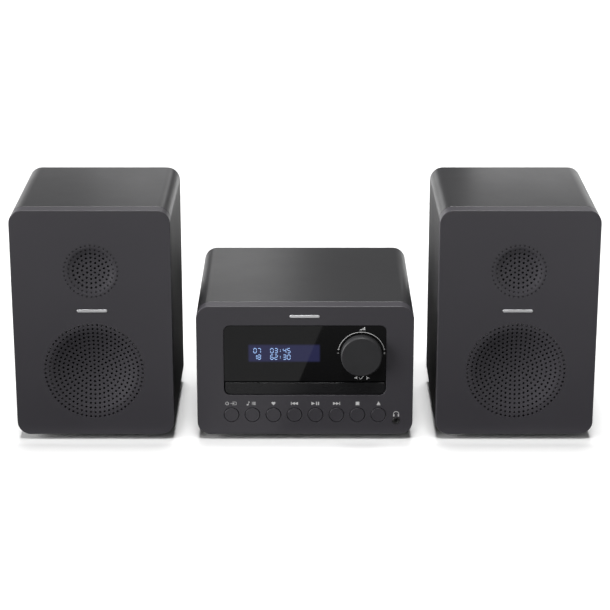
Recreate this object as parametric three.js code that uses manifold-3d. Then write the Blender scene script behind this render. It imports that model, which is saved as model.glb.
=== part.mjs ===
// A mini hifi system: a main unit with a disc tray, a display and its controls, and two two-way speakers.
// Millimetres, +Z up, fronts towards -Y. The origin is on the table, under the middle of the whole set.
import * as THREE from "three";
import { mergeVertices } from "three/addons/utils/BufferGeometryUtils.js";
import Module from "manifold-3d";

const wasm = await Module();
wasm.setup();

// ---------------------------------------------------------------- driving dimensions

const clearance = 0.3; // between two pieces that meet
const slideGap = 0.5; // between a moving piece and the hole or rail that guides it
const past = 1; // how far a cut reaches past what it cuts
const leastCorner = 1; // the sharpest corner inside a cabinet
const unitSpacing = 20; // free space between the main unit and each speaker

const foot = { height: 5, width: 12, sideInset: 16, endInset: 20 };

const mainUnit = {
  width: 185,
  height: 116,
  depth: 174,
  corner: 11.5,
  wall: 3,
  frontDepth: 13,
  facePlate: 4,
  backInset: 2,
  backPlate: 2.5,
};

const speaker = {
  width: 135,
  height: 200,
  depth: 145,
  corner: 11.5,
  wall: 6,
  frontDepth: 13,
  facePlate: 3,
  backInset: 2,
  backPlate: 3,
};

// The opening in the main unit's front: the window fills its upper part, the tray door its lower part.
const frontOpening = { sideGap: 4.3, bottom: 36, belowTop: 17, corner: 5.5 };
const windowPane = { bottom: 48.2, thickness: 2, setBack: 0.3, edgeGap: 0.25 };
const display = { fromLeft: 51.55, z: 74, width: 62, height: 17, rim: 6, glass: 1.6, board: 3 };
const knob = {
  radius: 17.5,
  edgeGap: 3.8,
  z: 73,
  proud: 7.5,
  ringGap: 0.8,
  chamfer: 0.7,
  stem: 2,
  push: 0.6,
};
const encoder = { size: 14, depth: 8, plungerWall: 1.4, plungerLength: 6 };
const button = { radius: 6.1, endInset: 29.4, z: 18, proud: 0.3, stem: 2, travel: 0.8 };
const buttonTab = { width: 7, reach: 1.4, depth: 1.2, stemEnd: 1 };
const buttonNames = ["power", "info", "favourite", "previous", "play", "next", "stop", "eject"];
const board = { thickness: 1.6, edge: 2, switchDepth: 1.5, switchHalf: 3 };
const jack = {
  fromRight: 14.2,
  z: 12.6,
  collar: 3,
  bore: 1.8,
  boreDepth: 13,
  body: 11,
  bodyBelow: 4.5,
  bodyDepth: 14,
};

const disc = { radius: 60, edgeGap: 0.8, recess: 2.4, hubOpening: 17, pickupSlot: 46 };
const tray = { bottom: 40.8, thickness: 5.4, frontLip: 4, sideLip: 4.2, backLip: 13 };
const door = { depth: 3, gap: 0.9, top: 47.2, topCorner: 0.4 };
const gear = {
  module: 1.5,
  teeth: 12,
  trayGap: 0.7,
  pressureAngle: 20,
  addendum: 1.2,
  dedendum: 1.3,
  backlash: 0.2,
  pin: 1.5,
  boss: 2, // wall of the boss round its pin
};
const rack = { addendum: 1, depth: 4.2, inset: 1, web: 3 };
const loader = {
  bottom: 30,
  floor: 3,
  rail: 2.5,
  railTop: 46,
  motorRadius: 12,
  motorHeight: 10,
  backEnd: 2.5,
  rodSeat: 1, // length of a rod that sits in the floor at each end
};
const turntable = { radius: 14.5, thickness: 2, hubRadius: 7.3, hubHeight: 3.8, lift: 1.5, shaft: 1.2 };
const sled = {
  width: 44,
  length: 22,
  height: 7,
  rodRadius: 1.5,
  rodSpan: 36,
  travel: 33,
  motorGap: 1,
  lens: 4,
  lensProud: 0.8,
};
const mainBoard = { sideGap: 14.5, start: 32, backGap: 21.5, height: 6 };
const processor = { x: -10, y: 70, size: 20, height: 2 };
const capacitor = { radius: 6, height: 14, pitch: 16, inset: 12 };

const terminal = {
  pitch: 12,
  rim: 3,
  height: 26,
  flange: 2,
  depth: 14,
  slotTop: 6.8,
  slotBottom: 7.4,
  pinWall: 0.5,
};

// A lever's pin lies behind the flange's face; from the side it has a heel, a knee, a tip and a shoulder.
const lever = {
  width: 7,
  pivotIn: 5.5,
  pivotUp: 3.5,
  pin: 1.1,
  pinEnd: 1,
  half: 2,
  heel: 1.5,
  knee: { reach: 1, drop: 2.5 },
  heelOfTip: { reach: 5, drop: 6 },
  tip: { reach: 6, drop: 4.7 },
  shoulder: { reach: 2.5, rise: 0.7 },
};
const mainTerminals = { fromLeft: 44.5, z: 74 };
const powerInlet = { fromRight: 26.5, z: 66, radius: 5.5, bore: 3.1, flange: 7, proud: 2.5, depth: 12 };
const aerial = { x: 30, z: 74, radius: 4.7, bore: 1.2, nut: 6.5, nutDepth: 2.5, proud: 10.5, depth: 9 };
const socketBore = 8; // depth of the bore in each socket on the back
const vent = { count: 9, pitch: 5, width: 2.2, height: 20, x: 10, z: 26 };

// How the height that the two drivers leave free is shared out below, between and above them.
const driverSpace = { below: 0.125, between: 0.4 };

const woofer = {
  dishDepth: 6.5,
  dishRim: 36.9,
  dishPower: 2,
  dishLip: 1.16,
  dishEdge: 42.5,
  frameRadius: 46,
  frameWall: 2,
  frameDepth: 26,
  frameBack: 30,
  coneRadius: 35,
  coneGap: 3,
  coneDepth: 14,
  coneWall: 1,
  capHeight: 4,
  capRim: 1,
  coilRadius: 10.4,
  coilWall: 0.8,
  backHole: 1,
  magnetRadius: 27,
  magnetDepth: 15,
  magnetFloor: 3,
  excursion: 2.5,
};

const tweeter = {
  dishDepth: 2.45,
  dishRim: 19.95,
  dishPower: 3,
  dishLip: 0.3,
  dishEdge: 23.9,
  flange: 24,
  flangeDepth: 2.5,
  dome: 9,
  domeHeight: 3,
  domeShoulder: { radius: 5.4, height: 0.9 },
  body: 16,
  bodyDepth: 15,
};

const dishShell = 2; // wall of a dish behind the baffle's face
const driverGap = { woofer: 1, tweeter: 0.5 }; // between a dish's back and the driver behind it
const port = { belowTop: 52, bore: 14, wall: 2.5, length: 55, flare: 5, flareDepth: 2 };
const speakerTerminals = { z: 52 };

// ---------------------------------------------------------------- finishes

const finish = (color, roughness, metalness = 0) =>
  new THREE.MeshStandardMaterial({ color, roughness, metalness });
const finishes = {
  cabinet: finish(0x3a3a3c, 0.45),
  fascia: finish(0x333336, 0.55),
  gloss: finish(0x0c0c0d, 0.08),
  screen: finish(0x28305c, 0.2),
  control: finish(0x2f2f31, 0.5),
  rubber: finish(0x151515, 0.9),
  inner: finish(0x1c1c1e, 0.6),
  acetal: finish(0xe8e6df, 0.4),
  board: finish(0x14432a, 0.6),
  steel: finish(0x9a9a9c, 0.35, 1),
  ferrite: finish(0x2a2a2c, 0.7),
  paper: finish(0x141416, 0.85),
  red: finish(0xa01818, 0.45),
  black: finish(0x101010, 0.45),
};

// ---------------------------------------------------------------- solids

// A closed three.js geometry as a solid, with the triangles that shrink to a line at an axis dropped.
function solid(geometry) {
  const bare = geometry.index ? geometry.toNonIndexed() : geometry.clone();
  bare.deleteAttribute("normal");
  bare.deleteAttribute("uv");
  const merged = mergeVertices(bare, 1e-4);
  const corners = merged.index.array;
  const kept = [];
  for (let i = 0; i < corners.length; i += 3) {
    const [a, b, c] = corners.subarray(i, i + 3);
    if (a !== b && b !== c && c !== a) kept.push(a, b, c);
  }
  const mesh = new wasm.Mesh({
    numProp: 3,
    vertProperties: merged.attributes.position.array,
    triVerts: new Uint32Array(kept),
  });
  return new wasm.Manifold(mesh);
}

// A named mesh made from a solid.
function piece(name, shape, material) {
  const made = shape.getMesh();
  const geometry = new THREE.BufferGeometry();
  geometry.setAttribute("position", new THREE.BufferAttribute(made.vertProperties, made.numProp));
  geometry.setIndex(new THREE.BufferAttribute(made.triVerts, 1));
  geometry.computeVertexNormals();
  const mesh = new THREE.Mesh(geometry, material);
  mesh.name = name;
  return mesh;
}

const joined = (shapes) => shapes.reduce((whole, next) => whole.add(next));
const cut = (shape, tools) => tools.reduce((left, tool) => left.subtract(tool), shape);

// A block between two values on each axis.
function block([x0, x1], [y0, y1], [z0, z1]) {
  const box = new THREE.BoxGeometry(x1 - x0, y1 - y0, z1 - z0);
  return solid(box.translate((x0 + x1) / 2, (y0 + y1) / 2, (z0 + z1) / 2));
}

// An upright rectangle with its own radius at the upper and the lower corners.
function outline(left, right, bottom, top, upper, lower = upper) {
  const shape = new THREE.Shape();
  const corner = (x, z, radius, turn) => {
    if (radius > 0) shape.absarc(x, z, radius, turn, turn + Math.PI / 2);
    else shape.lineTo(x, z);
  };
  shape.moveTo(left + lower, bottom);
  corner(right - lower, bottom + lower, lower, -Math.PI / 2);
  corner(right - upper, top - upper, upper, 0);
  corner(left + upper, top - upper, upper, Math.PI / 2);
  corner(left + lower, bottom + lower, lower, Math.PI);
  return shape;
}

// An outline drawn in X and Z, made solid from y0 back to y1.
function slab(shape, y0, y1, curveSegments = 4) {
  const flat = new THREE.ExtrudeGeometry(shape, { depth: y1 - y0, bevelEnabled: false, curveSegments });
  return solid(flat.rotateX(Math.PI / 2).translate(0, y1, 0));
}

// An outline drawn in X and Y, made solid from z0 up to z1.
function plate(shape, z0, z1) {
  const flat = new THREE.ExtrudeGeometry(shape, { depth: z1 - z0, bevelEnabled: false });
  return solid(flat.translate(0, 0, z0));
}

// A profile of [radius, distance] points turned about an axis along Y, through x and z.
function turned(profile, x, z, segments = 20) {
  const area = profile.reduce((sum, [r, h], i) => {
    const [nextR, nextH] = profile[(i + 1) % profile.length];
    return sum + r * nextH - nextR * h;
  }, 0);
  const onAxis = profile[0][0] === 0 && profile[profile.length - 1][0] === 0;
  const loop = onAxis ? [...profile] : [...profile, profile[0]];
  if (area < 0) loop.reverse();
  const points = loop.map(([r, h]) => new THREE.Vector2(r, h));
  return solid(new THREE.LatheGeometry(points, segments).translate(x, 0, z));
}

// A round bar along Y.
const bar = (radius, y0, y1, x, z, segments = 16) =>
  turned([[0, y0], [radius, y0], [radius, y1], [0, y1]], x, z, segments);

// A round upright bar.
function post(radius, z0, z1, x, y, segments = 16) {
  const rod = new THREE.CylinderGeometry(radius, radius, z1 - z0, segments);
  return solid(rod.rotateX(Math.PI / 2).translate(x, y, (z0 + z1) / 2));
}

// A round rod along X.
function crossRod(radius, x0, x1, y, z) {
  const rod = new THREE.CylinderGeometry(radius, radius, x1 - x0, 10);
  return solid(rod.rotateZ(Math.PI / 2).translate((x0 + x1) / 2, y, z));
}

// ---------------------------------------------------------------- cabinets, shared by all three units

const unitOutline = (unit, inset) =>
  outline(
    -unit.width / 2 + inset,
    unit.width / 2 - inset,
    inset,
    unit.height - inset,
    Math.max(unit.corner - inset, leastCorner),
  );

// The sleeve that makes the top, the sides and the bottom.
function sleeve(unit) {
  const outside = slab(unitOutline(unit, 0), unit.frontDepth + clearance, unit.depth);
  return outside.subtract(slab(unitOutline(unit, unit.wall), 0, unit.depth + past));
}

// The front: a face plate with a rim as deep as the front moulding.
function frontMoulding(unit) {
  const outside = slab(unitOutline(unit, 0), 0, unit.frontDepth);
  return outside.subtract(slab(unitOutline(unit, unit.wall), unit.facePlate, unit.frontDepth + past));
}

const backFace = (unit) => unit.depth - unit.backInset;

// The back plate, which drops into the sleeve.
const backPlate = (unit) =>
  slab(unitOutline(unit, unit.wall + clearance), backFace(unit) - unit.backPlate, backFace(unit));

// Two rubber strips under each unit, one near the front and one near the back.
function footStrips(prefix, unit) {
  const half = unit.width / 2 - foot.sideInset;
  const starts = { front: foot.endInset, rear: unit.depth - foot.endInset - foot.width };
  return Object.entries(starts).map(([place, start]) => {
    const strip = block([-half, half], [start, start + foot.width], [-foot.height, -clearance]);
    return piece(`${prefix}_${place}_foot`, strip, finishes.rubber);
  });
}

// ---------------------------------------------------------------- terminals, shared by all three units

const terminalWidth = (count) => count * terminal.pitch;
const terminalX = (count, i) => (i - (count - 1) / 2) * terminal.pitch;

// From before to behind a unit's back plate.
const throughBack = (unit) => [backFace(unit) - unit.backPlate - past, backFace(unit) + past];

// The opening that a terminal block needs in its back plate.
function terminalCutOut(unit, count, x, z) {
  const halfWidth = terminalWidth(count) / 2 + clearance;
  const halfHeight = terminal.height / 2 - terminal.rim + clearance;
  return block([x - halfWidth, x + halfWidth], throughBack(unit), [z - halfHeight, z + halfHeight]);
}

function terminalBlock(unit, count, x, z) {
  const half = terminalWidth(count) / 2;
  const outer = backFace(unit) + clearance + terminal.flange;
  const halfHeight = terminal.height / 2;
  const flange = outline(
    x - half - terminal.rim,
    x + half + terminal.rim,
    z - halfHeight,
    z + halfHeight,
    terminal.rim / 2,
  );
  const body = block(
    [x - half, x + half],
    [outer - terminal.depth, outer - terminal.flange / 2],
    [z - halfHeight + terminal.rim, z + halfHeight - terminal.rim],
  );
  const whole = slab(flange, outer - terminal.flange, outer, 3).add(body);
  const slots = Array.from({ length: count }, (_, i) => {
    const middle = x + terminalX(count, i);
    const side = lever.width / 2 + slideGap;
    return block(
      [middle - side, middle + side],
      [outer - terminal.depth + terminal.flange, outer + past],
      [z - terminal.slotBottom, z + terminal.slotTop],
    );
  });
  const pinBore = crossRod(
    lever.pin + clearance,
    x - half + terminal.pinWall,
    x + half - terminal.pinWall,
    outer - lever.pivotIn,
    z + lever.pivotUp,
  );
  return cut(whole, [...slots, pinBore]);
}

// A lever: a paddle on a pin near its upper inner end, which opens the clamp as its tip goes down.
function terminalLever(unit, x, z) {
  const outer = backFace(unit) + clearance + terminal.flange;
  const pinHalf = lever.width / 2 + slideGap + lever.pinEnd;
  const pin = crossRod(lever.pin, x - pinHalf, x + pinHalf, outer - lever.pivotIn, z + lever.pivotUp);
  const { pivotUp, half, knee, heelOfTip, tip, shoulder } = lever;
  const heelY = -lever.pivotIn - lever.heel;
  const side = new THREE.Shape();
  side.moveTo(heelY, pivotUp + half);
  side.lineTo(heelY, pivotUp - half);
  side.lineTo(knee.reach, pivotUp - knee.drop);
  side.lineTo(heelOfTip.reach, pivotUp - heelOfTip.drop);
  side.lineTo(tip.reach, pivotUp - tip.drop);
  side.lineTo(shoulder.reach, pivotUp + shoulder.rise);
  side.lineTo(knee.reach, pivotUp + half);
  const flat = new THREE.ExtrudeGeometry(side, { depth: lever.width, bevelEnabled: false });
  // Drawn in Y and Z and extruded along X.
  const turn = new THREE.Matrix4().makeBasis(
    new THREE.Vector3(0, 1, 0),
    new THREE.Vector3(0, 0, 1),
    new THREE.Vector3(1, 0, 0),
  );
  return solid(flat.applyMatrix4(turn).translate(x - lever.width / 2, outer, z)).add(pin);
}

// ---------------------------------------------------------------- main unit: front

const trayHalf = disc.radius + disc.edgeGap + tray.sideLip;
const openingHalf = trayHalf + frontOpening.sideGap;
const openingTop = mainUnit.height - frontOpening.belowTop;
const seatDepth = windowPane.setBack + windowPane.thickness + clearance;
const stemHole = knob.stem + encoder.plungerWall + slideGap;
const knobX = openingHalf - knob.edgeGap - knob.radius;
const displayX = -openingHalf + display.fromLeft;
const jackX = mainUnit.width / 2 - jack.fromRight;
const buttonPitch = (mainUnit.width - 2 * button.endInset) / (buttonNames.length - 1);
const buttonX = (i) => (i - (buttonNames.length - 1) / 2) * buttonPitch;

function mainFascia() {
  const throughFace = mainUnit.facePlate + past;
  const seat = outline(-openingHalf, openingHalf, windowPane.bottom, openingTop, frontOpening.corner, 0);
  const mouth = outline(
    -openingHalf,
    openingHalf,
    frontOpening.bottom,
    windowPane.bottom + clearance,
    0,
    frontOpening.corner,
  );
  const screenHalf = display.width / 2 + slideGap;
  const screenHole = block(
    [displayX - screenHalf, displayX + screenHalf],
    [0, throughFace],
    [display.z - display.height / 2 - slideGap, display.z + display.height / 2 + slideGap],
  );
  const buttonHoles = buttonNames.map((_, i) =>
    bar(button.radius + slideGap, -past, throughFace, buttonX(i), button.z),
  );
  return cut(frontMoulding(mainUnit), [
    slab(seat, -past, seatDepth),
    slab(mouth, -past, throughFace),
    screenHole,
    bar(stemHole, 0, throughFace, knobX, knob.z),
    bar(jack.collar + clearance, -past, throughFace, jackX, jack.z),
    ...buttonHoles,
  ]);
}

function windowGlass() {
  const pane = outline(
    -openingHalf + windowPane.edgeGap,
    openingHalf - windowPane.edgeGap,
    windowPane.bottom + clearance,
    openingTop - windowPane.edgeGap,
    frontOpening.corner - windowPane.edgeGap,
    0,
  );
  const flat = slab(pane, windowPane.setBack, windowPane.setBack + windowPane.thickness);
  return flat.subtract(bar(knob.radius + knob.ringGap, -past, seatDepth + past, knobX, knob.z, 32));
}

function displayModule() {
  const [x, z] = [displayX, display.z];
  const [halfWidth, halfHeight] = [display.width / 2, display.height / 2];
  const glassFront = seatDepth;
  const boardFront = mainUnit.facePlate + clearance;
  const glass = block(
    [x - halfWidth, x + halfWidth],
    [glassFront, boardFront + display.glass],
    [z - halfHeight, z + halfHeight],
  );
  const rim = block(
    [x - halfWidth - display.rim, x + halfWidth + display.rim],
    [boardFront, boardFront + display.board],
    [z - halfHeight - display.rim, z + halfHeight + display.rim],
  );
  return glass.add(rim);
}

// The knob turns and presses; its stem reaches through the plunger into the encoder.
function volumeKnob() {
  const back = seatDepth - knob.push - slideGap;
  const plungerEnd = mainUnit.facePlate + clearance + encoder.plungerLength;
  return turned(
    [
      [0, -knob.proud],
      [knob.radius - knob.chamfer, -knob.proud],
      [knob.radius, -knob.proud + knob.chamfer],
      [knob.radius, back],
      [knob.stem, back],
      [knob.stem, plungerEnd],
      [0, plungerEnd],
    ],
    knobX,
    knob.z,
    32,
  );
}

const encoderFront = mainUnit.facePlate + clearance;

function encoderBody() {
  const half = encoder.size / 2;
  const body = block(
    [knobX - half, knobX + half],
    [encoderFront, encoderFront + encoder.depth],
    [knob.z - half, knob.z + half],
  );
  return body.subtract(bar(stemHole, 0, encoderFront + encoder.depth + past, knobX, knob.z));
}

function encoderPlunger() {
  const start = encoderFront + clearance;
  const inner = knob.stem + clearance;
  const outer = knob.stem + encoder.plungerWall;
  const end = start + encoder.plungerLength;
  return turned([[inner, start], [outer, start], [outer, end], [inner, end]], knobX, knob.z, 16);
}

const tabFront = mainUnit.facePlate + clearance;
const stemEnd = tabFront + buttonTab.depth + buttonTab.stemEnd;

// A button: a round cap with a tab above and below that holds it behind the face, and a stem to its switch.
function pushButton(i) {
  const tabEnd = tabFront + buttonTab.depth;
  const cap = bar(button.radius, -button.proud, tabEnd, buttonX(i), button.z);
  const stem = bar(button.stem, tabFront, stemEnd, buttonX(i), button.z, 10);
  const tabs = block(
    [buttonX(i) - buttonTab.width / 2, buttonX(i) + buttonTab.width / 2],
    [tabFront, tabEnd],
    [button.z - button.radius - buttonTab.reach, button.z + button.radius + buttonTab.reach],
  );
  return joined([cap, stem, tabs]);
}

// The board behind the buttons, with a switch under each one.
function controlBoard() {
  const switchFront = stemEnd + button.travel + clearance;
  const boardFront = switchFront + board.switchDepth;
  const halfWidth = buttonX(buttonNames.length - 1) + board.switchHalf + board.edge;
  const flat = block(
    [-halfWidth, halfWidth],
    [boardFront, boardFront + board.thickness],
    [button.z - button.radius, button.z + button.radius],
  );
  const switches = buttonNames.map((_, i) =>
    block(
      [buttonX(i) - board.switchHalf, buttonX(i) + board.switchHalf],
      [switchFront, boardFront + board.thickness / 2],
      [button.z - board.switchHalf, button.z + board.switchHalf],
    ),
  );
  return joined([flat, ...switches]);
}

function headphoneJack() {
  const half = jack.body / 2;
  const front = mainUnit.facePlate + clearance;
  const body = block(
    [jackX - half, jackX + half],
    [front, front + jack.bodyDepth],
    [jack.z - jack.bodyBelow, jack.z + half],
  );
  const collar = bar(jack.collar, -button.proud, front + jack.bodyDepth / 2, jackX, jack.z);
  return body.add(collar).subtract(bar(jack.bore, -past, jack.boreDepth, jackX, jack.z, 12));
}

// ---------------------------------------------------------------- main unit: disc loader

const trayFront = windowPane.setBack + door.depth + clearance;
const discY = trayFront + tray.frontLip + disc.radius + disc.edgeGap;
const trayBack = discY + disc.radius + disc.edgeGap + tray.backLip;
const trayTop = tray.bottom + tray.thickness;
const pitchRadius = (gear.module * gear.teeth) / 2;
const toothPitch = Math.PI * gear.module;
const rackLine = -trayHalf + rack.inset + rack.web + gear.dedendum; // the rack's pitch line
const gearX = rackLine + pitchRadius;
const gearY = trayFront + gear.trayGap + pitchRadius + gear.addendum;
const loaderTop = loader.bottom + loader.floor;
const rackBottom = tray.bottom - rack.depth;

// The tray's rack: straight teeth that face the middle of the unit, with a space where the pinion stands.
function trayRack() {
  const slope = Math.tan(THREE.MathUtils.degToRad(gear.pressureAngle));
  const half = toothPitch / 4 - gear.backlash / 2;
  const tip = half - rack.addendum * slope;
  const root = half + gear.dedendum * slope;
  const behind = Math.floor((gearY - trayFront) / toothPitch - 1);
  const ahead = Math.floor((trayBack - gearY) / toothPitch - 1);
  const shape = new THREE.Shape();
  const back = -trayHalf + rack.inset;
  shape.moveTo(back, gearY + (ahead + 0.5) * toothPitch);
  shape.lineTo(back, gearY - (behind + 0.5) * toothPitch);
  for (let k = -behind; k < ahead; k++) {
    const middle = gearY + (k + 0.5) * toothPitch;
    shape.lineTo(rackLine - gear.dedendum, middle - root);
    shape.lineTo(rackLine + rack.addendum, middle - tip);
    shape.lineTo(rackLine + rack.addendum, middle + tip);
    shape.lineTo(rackLine - gear.dedendum, middle + root);
  }
  shape.lineTo(rackLine - gear.dedendum, gearY + (ahead + 0.5) * toothPitch);
  return plate(shape, rackBottom, tray.bottom + tray.thickness / 2);
}

function discTray() {
  const floor = block([-trayHalf, trayHalf], [trayFront, trayBack], [tray.bottom, trayTop]);
  const through = [tray.bottom - past, trayTop + past];
  const recess = post(disc.radius + disc.edgeGap, trayTop - disc.recess, trayTop + past, 0, discY, 40);
  const hub = post(disc.hubOpening, ...through, 0, discY, 24);
  const slot = block([-disc.hubOpening, disc.hubOpening], [discY, discY + disc.pickupSlot], through);
  return cut(floor, [recess, hub, slot]).add(trayRack());
}

function trayDoor() {
  const shape = outline(
    -openingHalf + door.gap,
    openingHalf - door.gap,
    frontOpening.bottom + door.gap,
    door.top,
    door.topCorner,
    frontOpening.corner - door.gap,
  );
  return slab(shape, windowPane.setBack, windowPane.setBack + door.depth);
}

// An involute pinion on an upright pin, with one tooth in the rack's nearest space.
function trayGear() {
  const angle = THREE.MathUtils.degToRad(gear.pressureAngle);
  const base = pitchRadius * Math.cos(angle);
  const involute = (a) => Math.tan(a) - a;
  const halfTooth = Math.PI / 2 / gear.teeth - gear.backlash / 2 / pitchRadius + involute(angle);
  const tipRadius = pitchRadius + gear.addendum;
  const rootRadius = pitchRadius - gear.dedendum;
  const radii = [rootRadius, base, (base + tipRadius) / 2, tipRadius];
  const shape = new THREE.Shape();
  for (let tooth = 0; tooth < gear.teeth; tooth++) {
    const middle = Math.PI + (tooth * 2 * Math.PI) / gear.teeth;
    const flank = radii.map((r) => [r, halfTooth - involute(Math.acos(Math.min(base / r, 1)))]);
    const points = [
      ...flank.map(([r, half]) => [r, middle - half]),
      ...[...flank].reverse().map(([r, half]) => [r, middle + half]),
    ];
    points.forEach(([r, a], i) => {
      const [x, y] = [gearX + r * Math.cos(a), gearY + r * Math.sin(a)];
      if (tooth === 0 && i === 0) shape.moveTo(x, y);
      else shape.lineTo(x, y);
    });
  }
  const wheel = plate(shape, rackBottom + clearance, tray.bottom - clearance);
  return wheel.subtract(post(gear.pin + clearance, 0, tray.bottom, gearX, gearY, 12));
}

const turntableBottom = loaderTop + turntable.lift;
const sledStart = discY + loader.motorRadius + sled.motorGap;
const rodZ = loader.bottom + sled.rodRadius;
const rodX = (side) => (side * sled.rodSpan) / 2;
const sledWell = { start: sledStart - slideGap, end: sledStart + sled.length + sled.travel + slideGap };

// The loader's frame: a floor with a rail each side, the motor, the sled's rods and the pinion's pin.
function loaderFrame() {
  const inner = trayHalf + slideGap;
  const outer = inner + loader.rail;
  const start = mainUnit.facePlate + clearance;
  const end = trayBack + loader.backEnd;
  const well = block(
    [-sled.width / 2 - slideGap, sled.width / 2 + slideGap],
    [sledWell.start, sledWell.end],
    [loader.bottom - past, loaderTop + past],
  );
  const floor = block([-outer, outer], [start, end], [loader.bottom, loaderTop]).subtract(well);
  const rails = [-1, 1].map((side) => {
    const across = side < 0 ? [-outer, -inner] : [inner, outer];
    return block(across, [mainUnit.frontDepth, end], [loader.bottom, loader.railTop]);
  });
  const rodEnds = [sledWell.start - loader.rodSeat, sledWell.end + loader.rodSeat];
  const rods = [-1, 1].map((side) =>
    bar(sled.rodRadius, ...rodEnds, rodX(side), rodZ, 12),
  );
  const motor = post(loader.motorRadius, loader.bottom - loader.motorHeight, loaderTop, 0, discY, 24);
  const seat = loader.bottom + loader.floor / 2;
  const pin = post(gear.pin, seat, tray.bottom - 2 * clearance, gearX, gearY, 12);
  const pinBoss = post(gear.pin + gear.boss, seat, rackBottom, gearX, gearY, 12);
  const whole = joined([floor, ...rails, ...rods, motor, pinBoss, pin]);
  const shaftHole = post(turntable.shaft + clearance, loader.bottom, loaderTop + past, 0, discY, 12);
  return whole.subtract(shaftHole);
}

function discTurntable() {
  const top = turntableBottom + turntable.thickness;
  const platter = post(turntable.radius, turntableBottom, top, 0, discY, 24);
  const hub = post(turntable.hubRadius, turntableBottom, top + turntable.hubHeight, 0, discY);
  const shaft = post(turntable.shaft, loader.bottom + clearance, top, 0, discY, 12);
  return joined([platter, hub, shaft]);
}

function laserSled() {
  const half = sled.width / 2;
  const bottom = loader.bottom - sled.height / 2;
  const sledEnd = sledStart + sled.length;
  const body = block([-half, half], [sledStart, sledEnd], [bottom, bottom + sled.height]);
  const rodHoles = [-1, 1].map((side) =>
    bar(sled.rodRadius + clearance, sledStart - past, sledEnd + past, rodX(side), rodZ, 12),
  );
  const top = bottom + sled.height;
  const lens = post(sled.lens, top - sled.lensProud, top + sled.lensProud, 0, sledStart + sled.length / 2);
  return cut(body, rodHoles).add(lens);
}

function circuitBoard() {
  const half = mainUnit.width / 2 - mainUnit.wall - mainBoard.sideGap;
  const end = backFace(mainUnit) - mainUnit.backPlate - mainBoard.backGap;
  const top = mainBoard.height + board.thickness;
  const flat = block([-half, half], [mainBoard.start, end], [mainBoard.height, top]);
  const seat = top - board.thickness / 2;
  const chip = block(
    [processor.x - processor.size / 2, processor.x + processor.size / 2],
    [processor.y - processor.size / 2, processor.y + processor.size / 2],
    [seat, top + processor.height],
  );
  const capacitorX = (i) => half - capacitor.inset - i * capacitor.pitch;
  const capacitors = [0, 1].map((i) =>
    post(capacitor.radius, seat, top + capacitor.height, capacitorX(i), end - capacitor.inset),
  );
  return joined([flat, chip, ...capacitors]);
}

// ---------------------------------------------------------------- main unit: back

const mainTerminalsX = -mainUnit.width / 2 + mainTerminals.fromLeft;
const powerInletX = mainUnit.width / 2 - powerInlet.fromRight;

function mainBackPlate() {
  const through = throughBack(mainUnit);
  const slots = Array.from({ length: vent.count }, (_, i) => {
    const x = vent.x + i * vent.pitch;
    return block([x, x + vent.width], through, [vent.z, vent.z + vent.height]);
  });
  return cut(backPlate(mainUnit), [
    terminalCutOut(mainUnit, 4, mainTerminalsX, mainTerminals.z),
    bar(powerInlet.radius + clearance, ...through, powerInletX, powerInlet.z),
    bar(aerial.radius + clearance, ...through, aerial.x, aerial.z),
    ...slots,
  ]);
}

// A socket on the back: a barrel through the plate, a flange outside it, and a blind bore.
function backSocket(socket, x, flangeRadius, flangeDepth) {
  const face = backFace(mainUnit) + clearance;
  const outer = backFace(mainUnit) + socket.proud;
  const barrel = bar(socket.radius, face - socket.depth, outer, x, socket.z);
  const flange = bar(flangeRadius, face, face + flangeDepth, x, socket.z);
  return barrel.add(flange).subtract(bar(socket.bore, outer - socketBore, outer + past, x, socket.z, 12));
}

// ---------------------------------------------------------------- speakers

// How far a dish lies behind the baffle's face at a radius: a bowl that rolls smoothly into the face.
function dishDepth(dish, radius) {
  const bowl = (r) => {
    const depth = dish.dishDepth * (1 - (r / dish.dishRim) ** dish.dishPower);
    return (depth + Math.hypot(depth, dish.dishLip)) / 2;
  };
  return Math.max(bowl(radius) - bowl(dish.dishEdge), 0);
}

// The bowl's radii and depths, from the edge in to the axis.
function dishCurve(dish, steps, offset) {
  return Array.from({ length: steps + 1 }, (_, i) => {
    const radius = dish.dishEdge * (1 - i / steps);
    return [radius, dishDepth(dish, radius) + offset];
  });
}

const freeHeight = speaker.height - 2 * (speaker.wall + woofer.frameRadius + tweeter.flange);
const wooferZ = speaker.wall + driverSpace.below * freeHeight + woofer.frameRadius;
const tweeterZ = wooferZ + woofer.frameRadius + driverSpace.between * freeHeight + tweeter.flange;

function baffle() {
  const seat = speaker.facePlate / 2;
  const dishes = [
    { dish: woofer, z: wooferZ, steps: 5, segments: 24 },
    { dish: tweeter, z: tweeterZ, steps: 3, segments: 16 },
  ];
  const shells = dishes.map(({ dish, z, steps, segments }) =>
    turned([[0, seat], [dish.dishEdge, seat], ...dishCurve(dish, steps, dishShell)], 0, z, segments),
  );
  const bowls = dishes.map(({ dish, z, steps, segments }) =>
    turned([[0, -past], [dish.dishEdge, -past], ...dishCurve(dish, steps, 0)], 0, z, segments),
  );
  return cut(joined([frontMoulding(speaker), ...shells]), bowls);
}

const wooferFront = woofer.dishDepth + dishShell + driverGap.woofer;
const wooferBack = wooferFront + woofer.frameDepth;
const coilGap = woofer.coilWall / 2 + slideGap;

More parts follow.
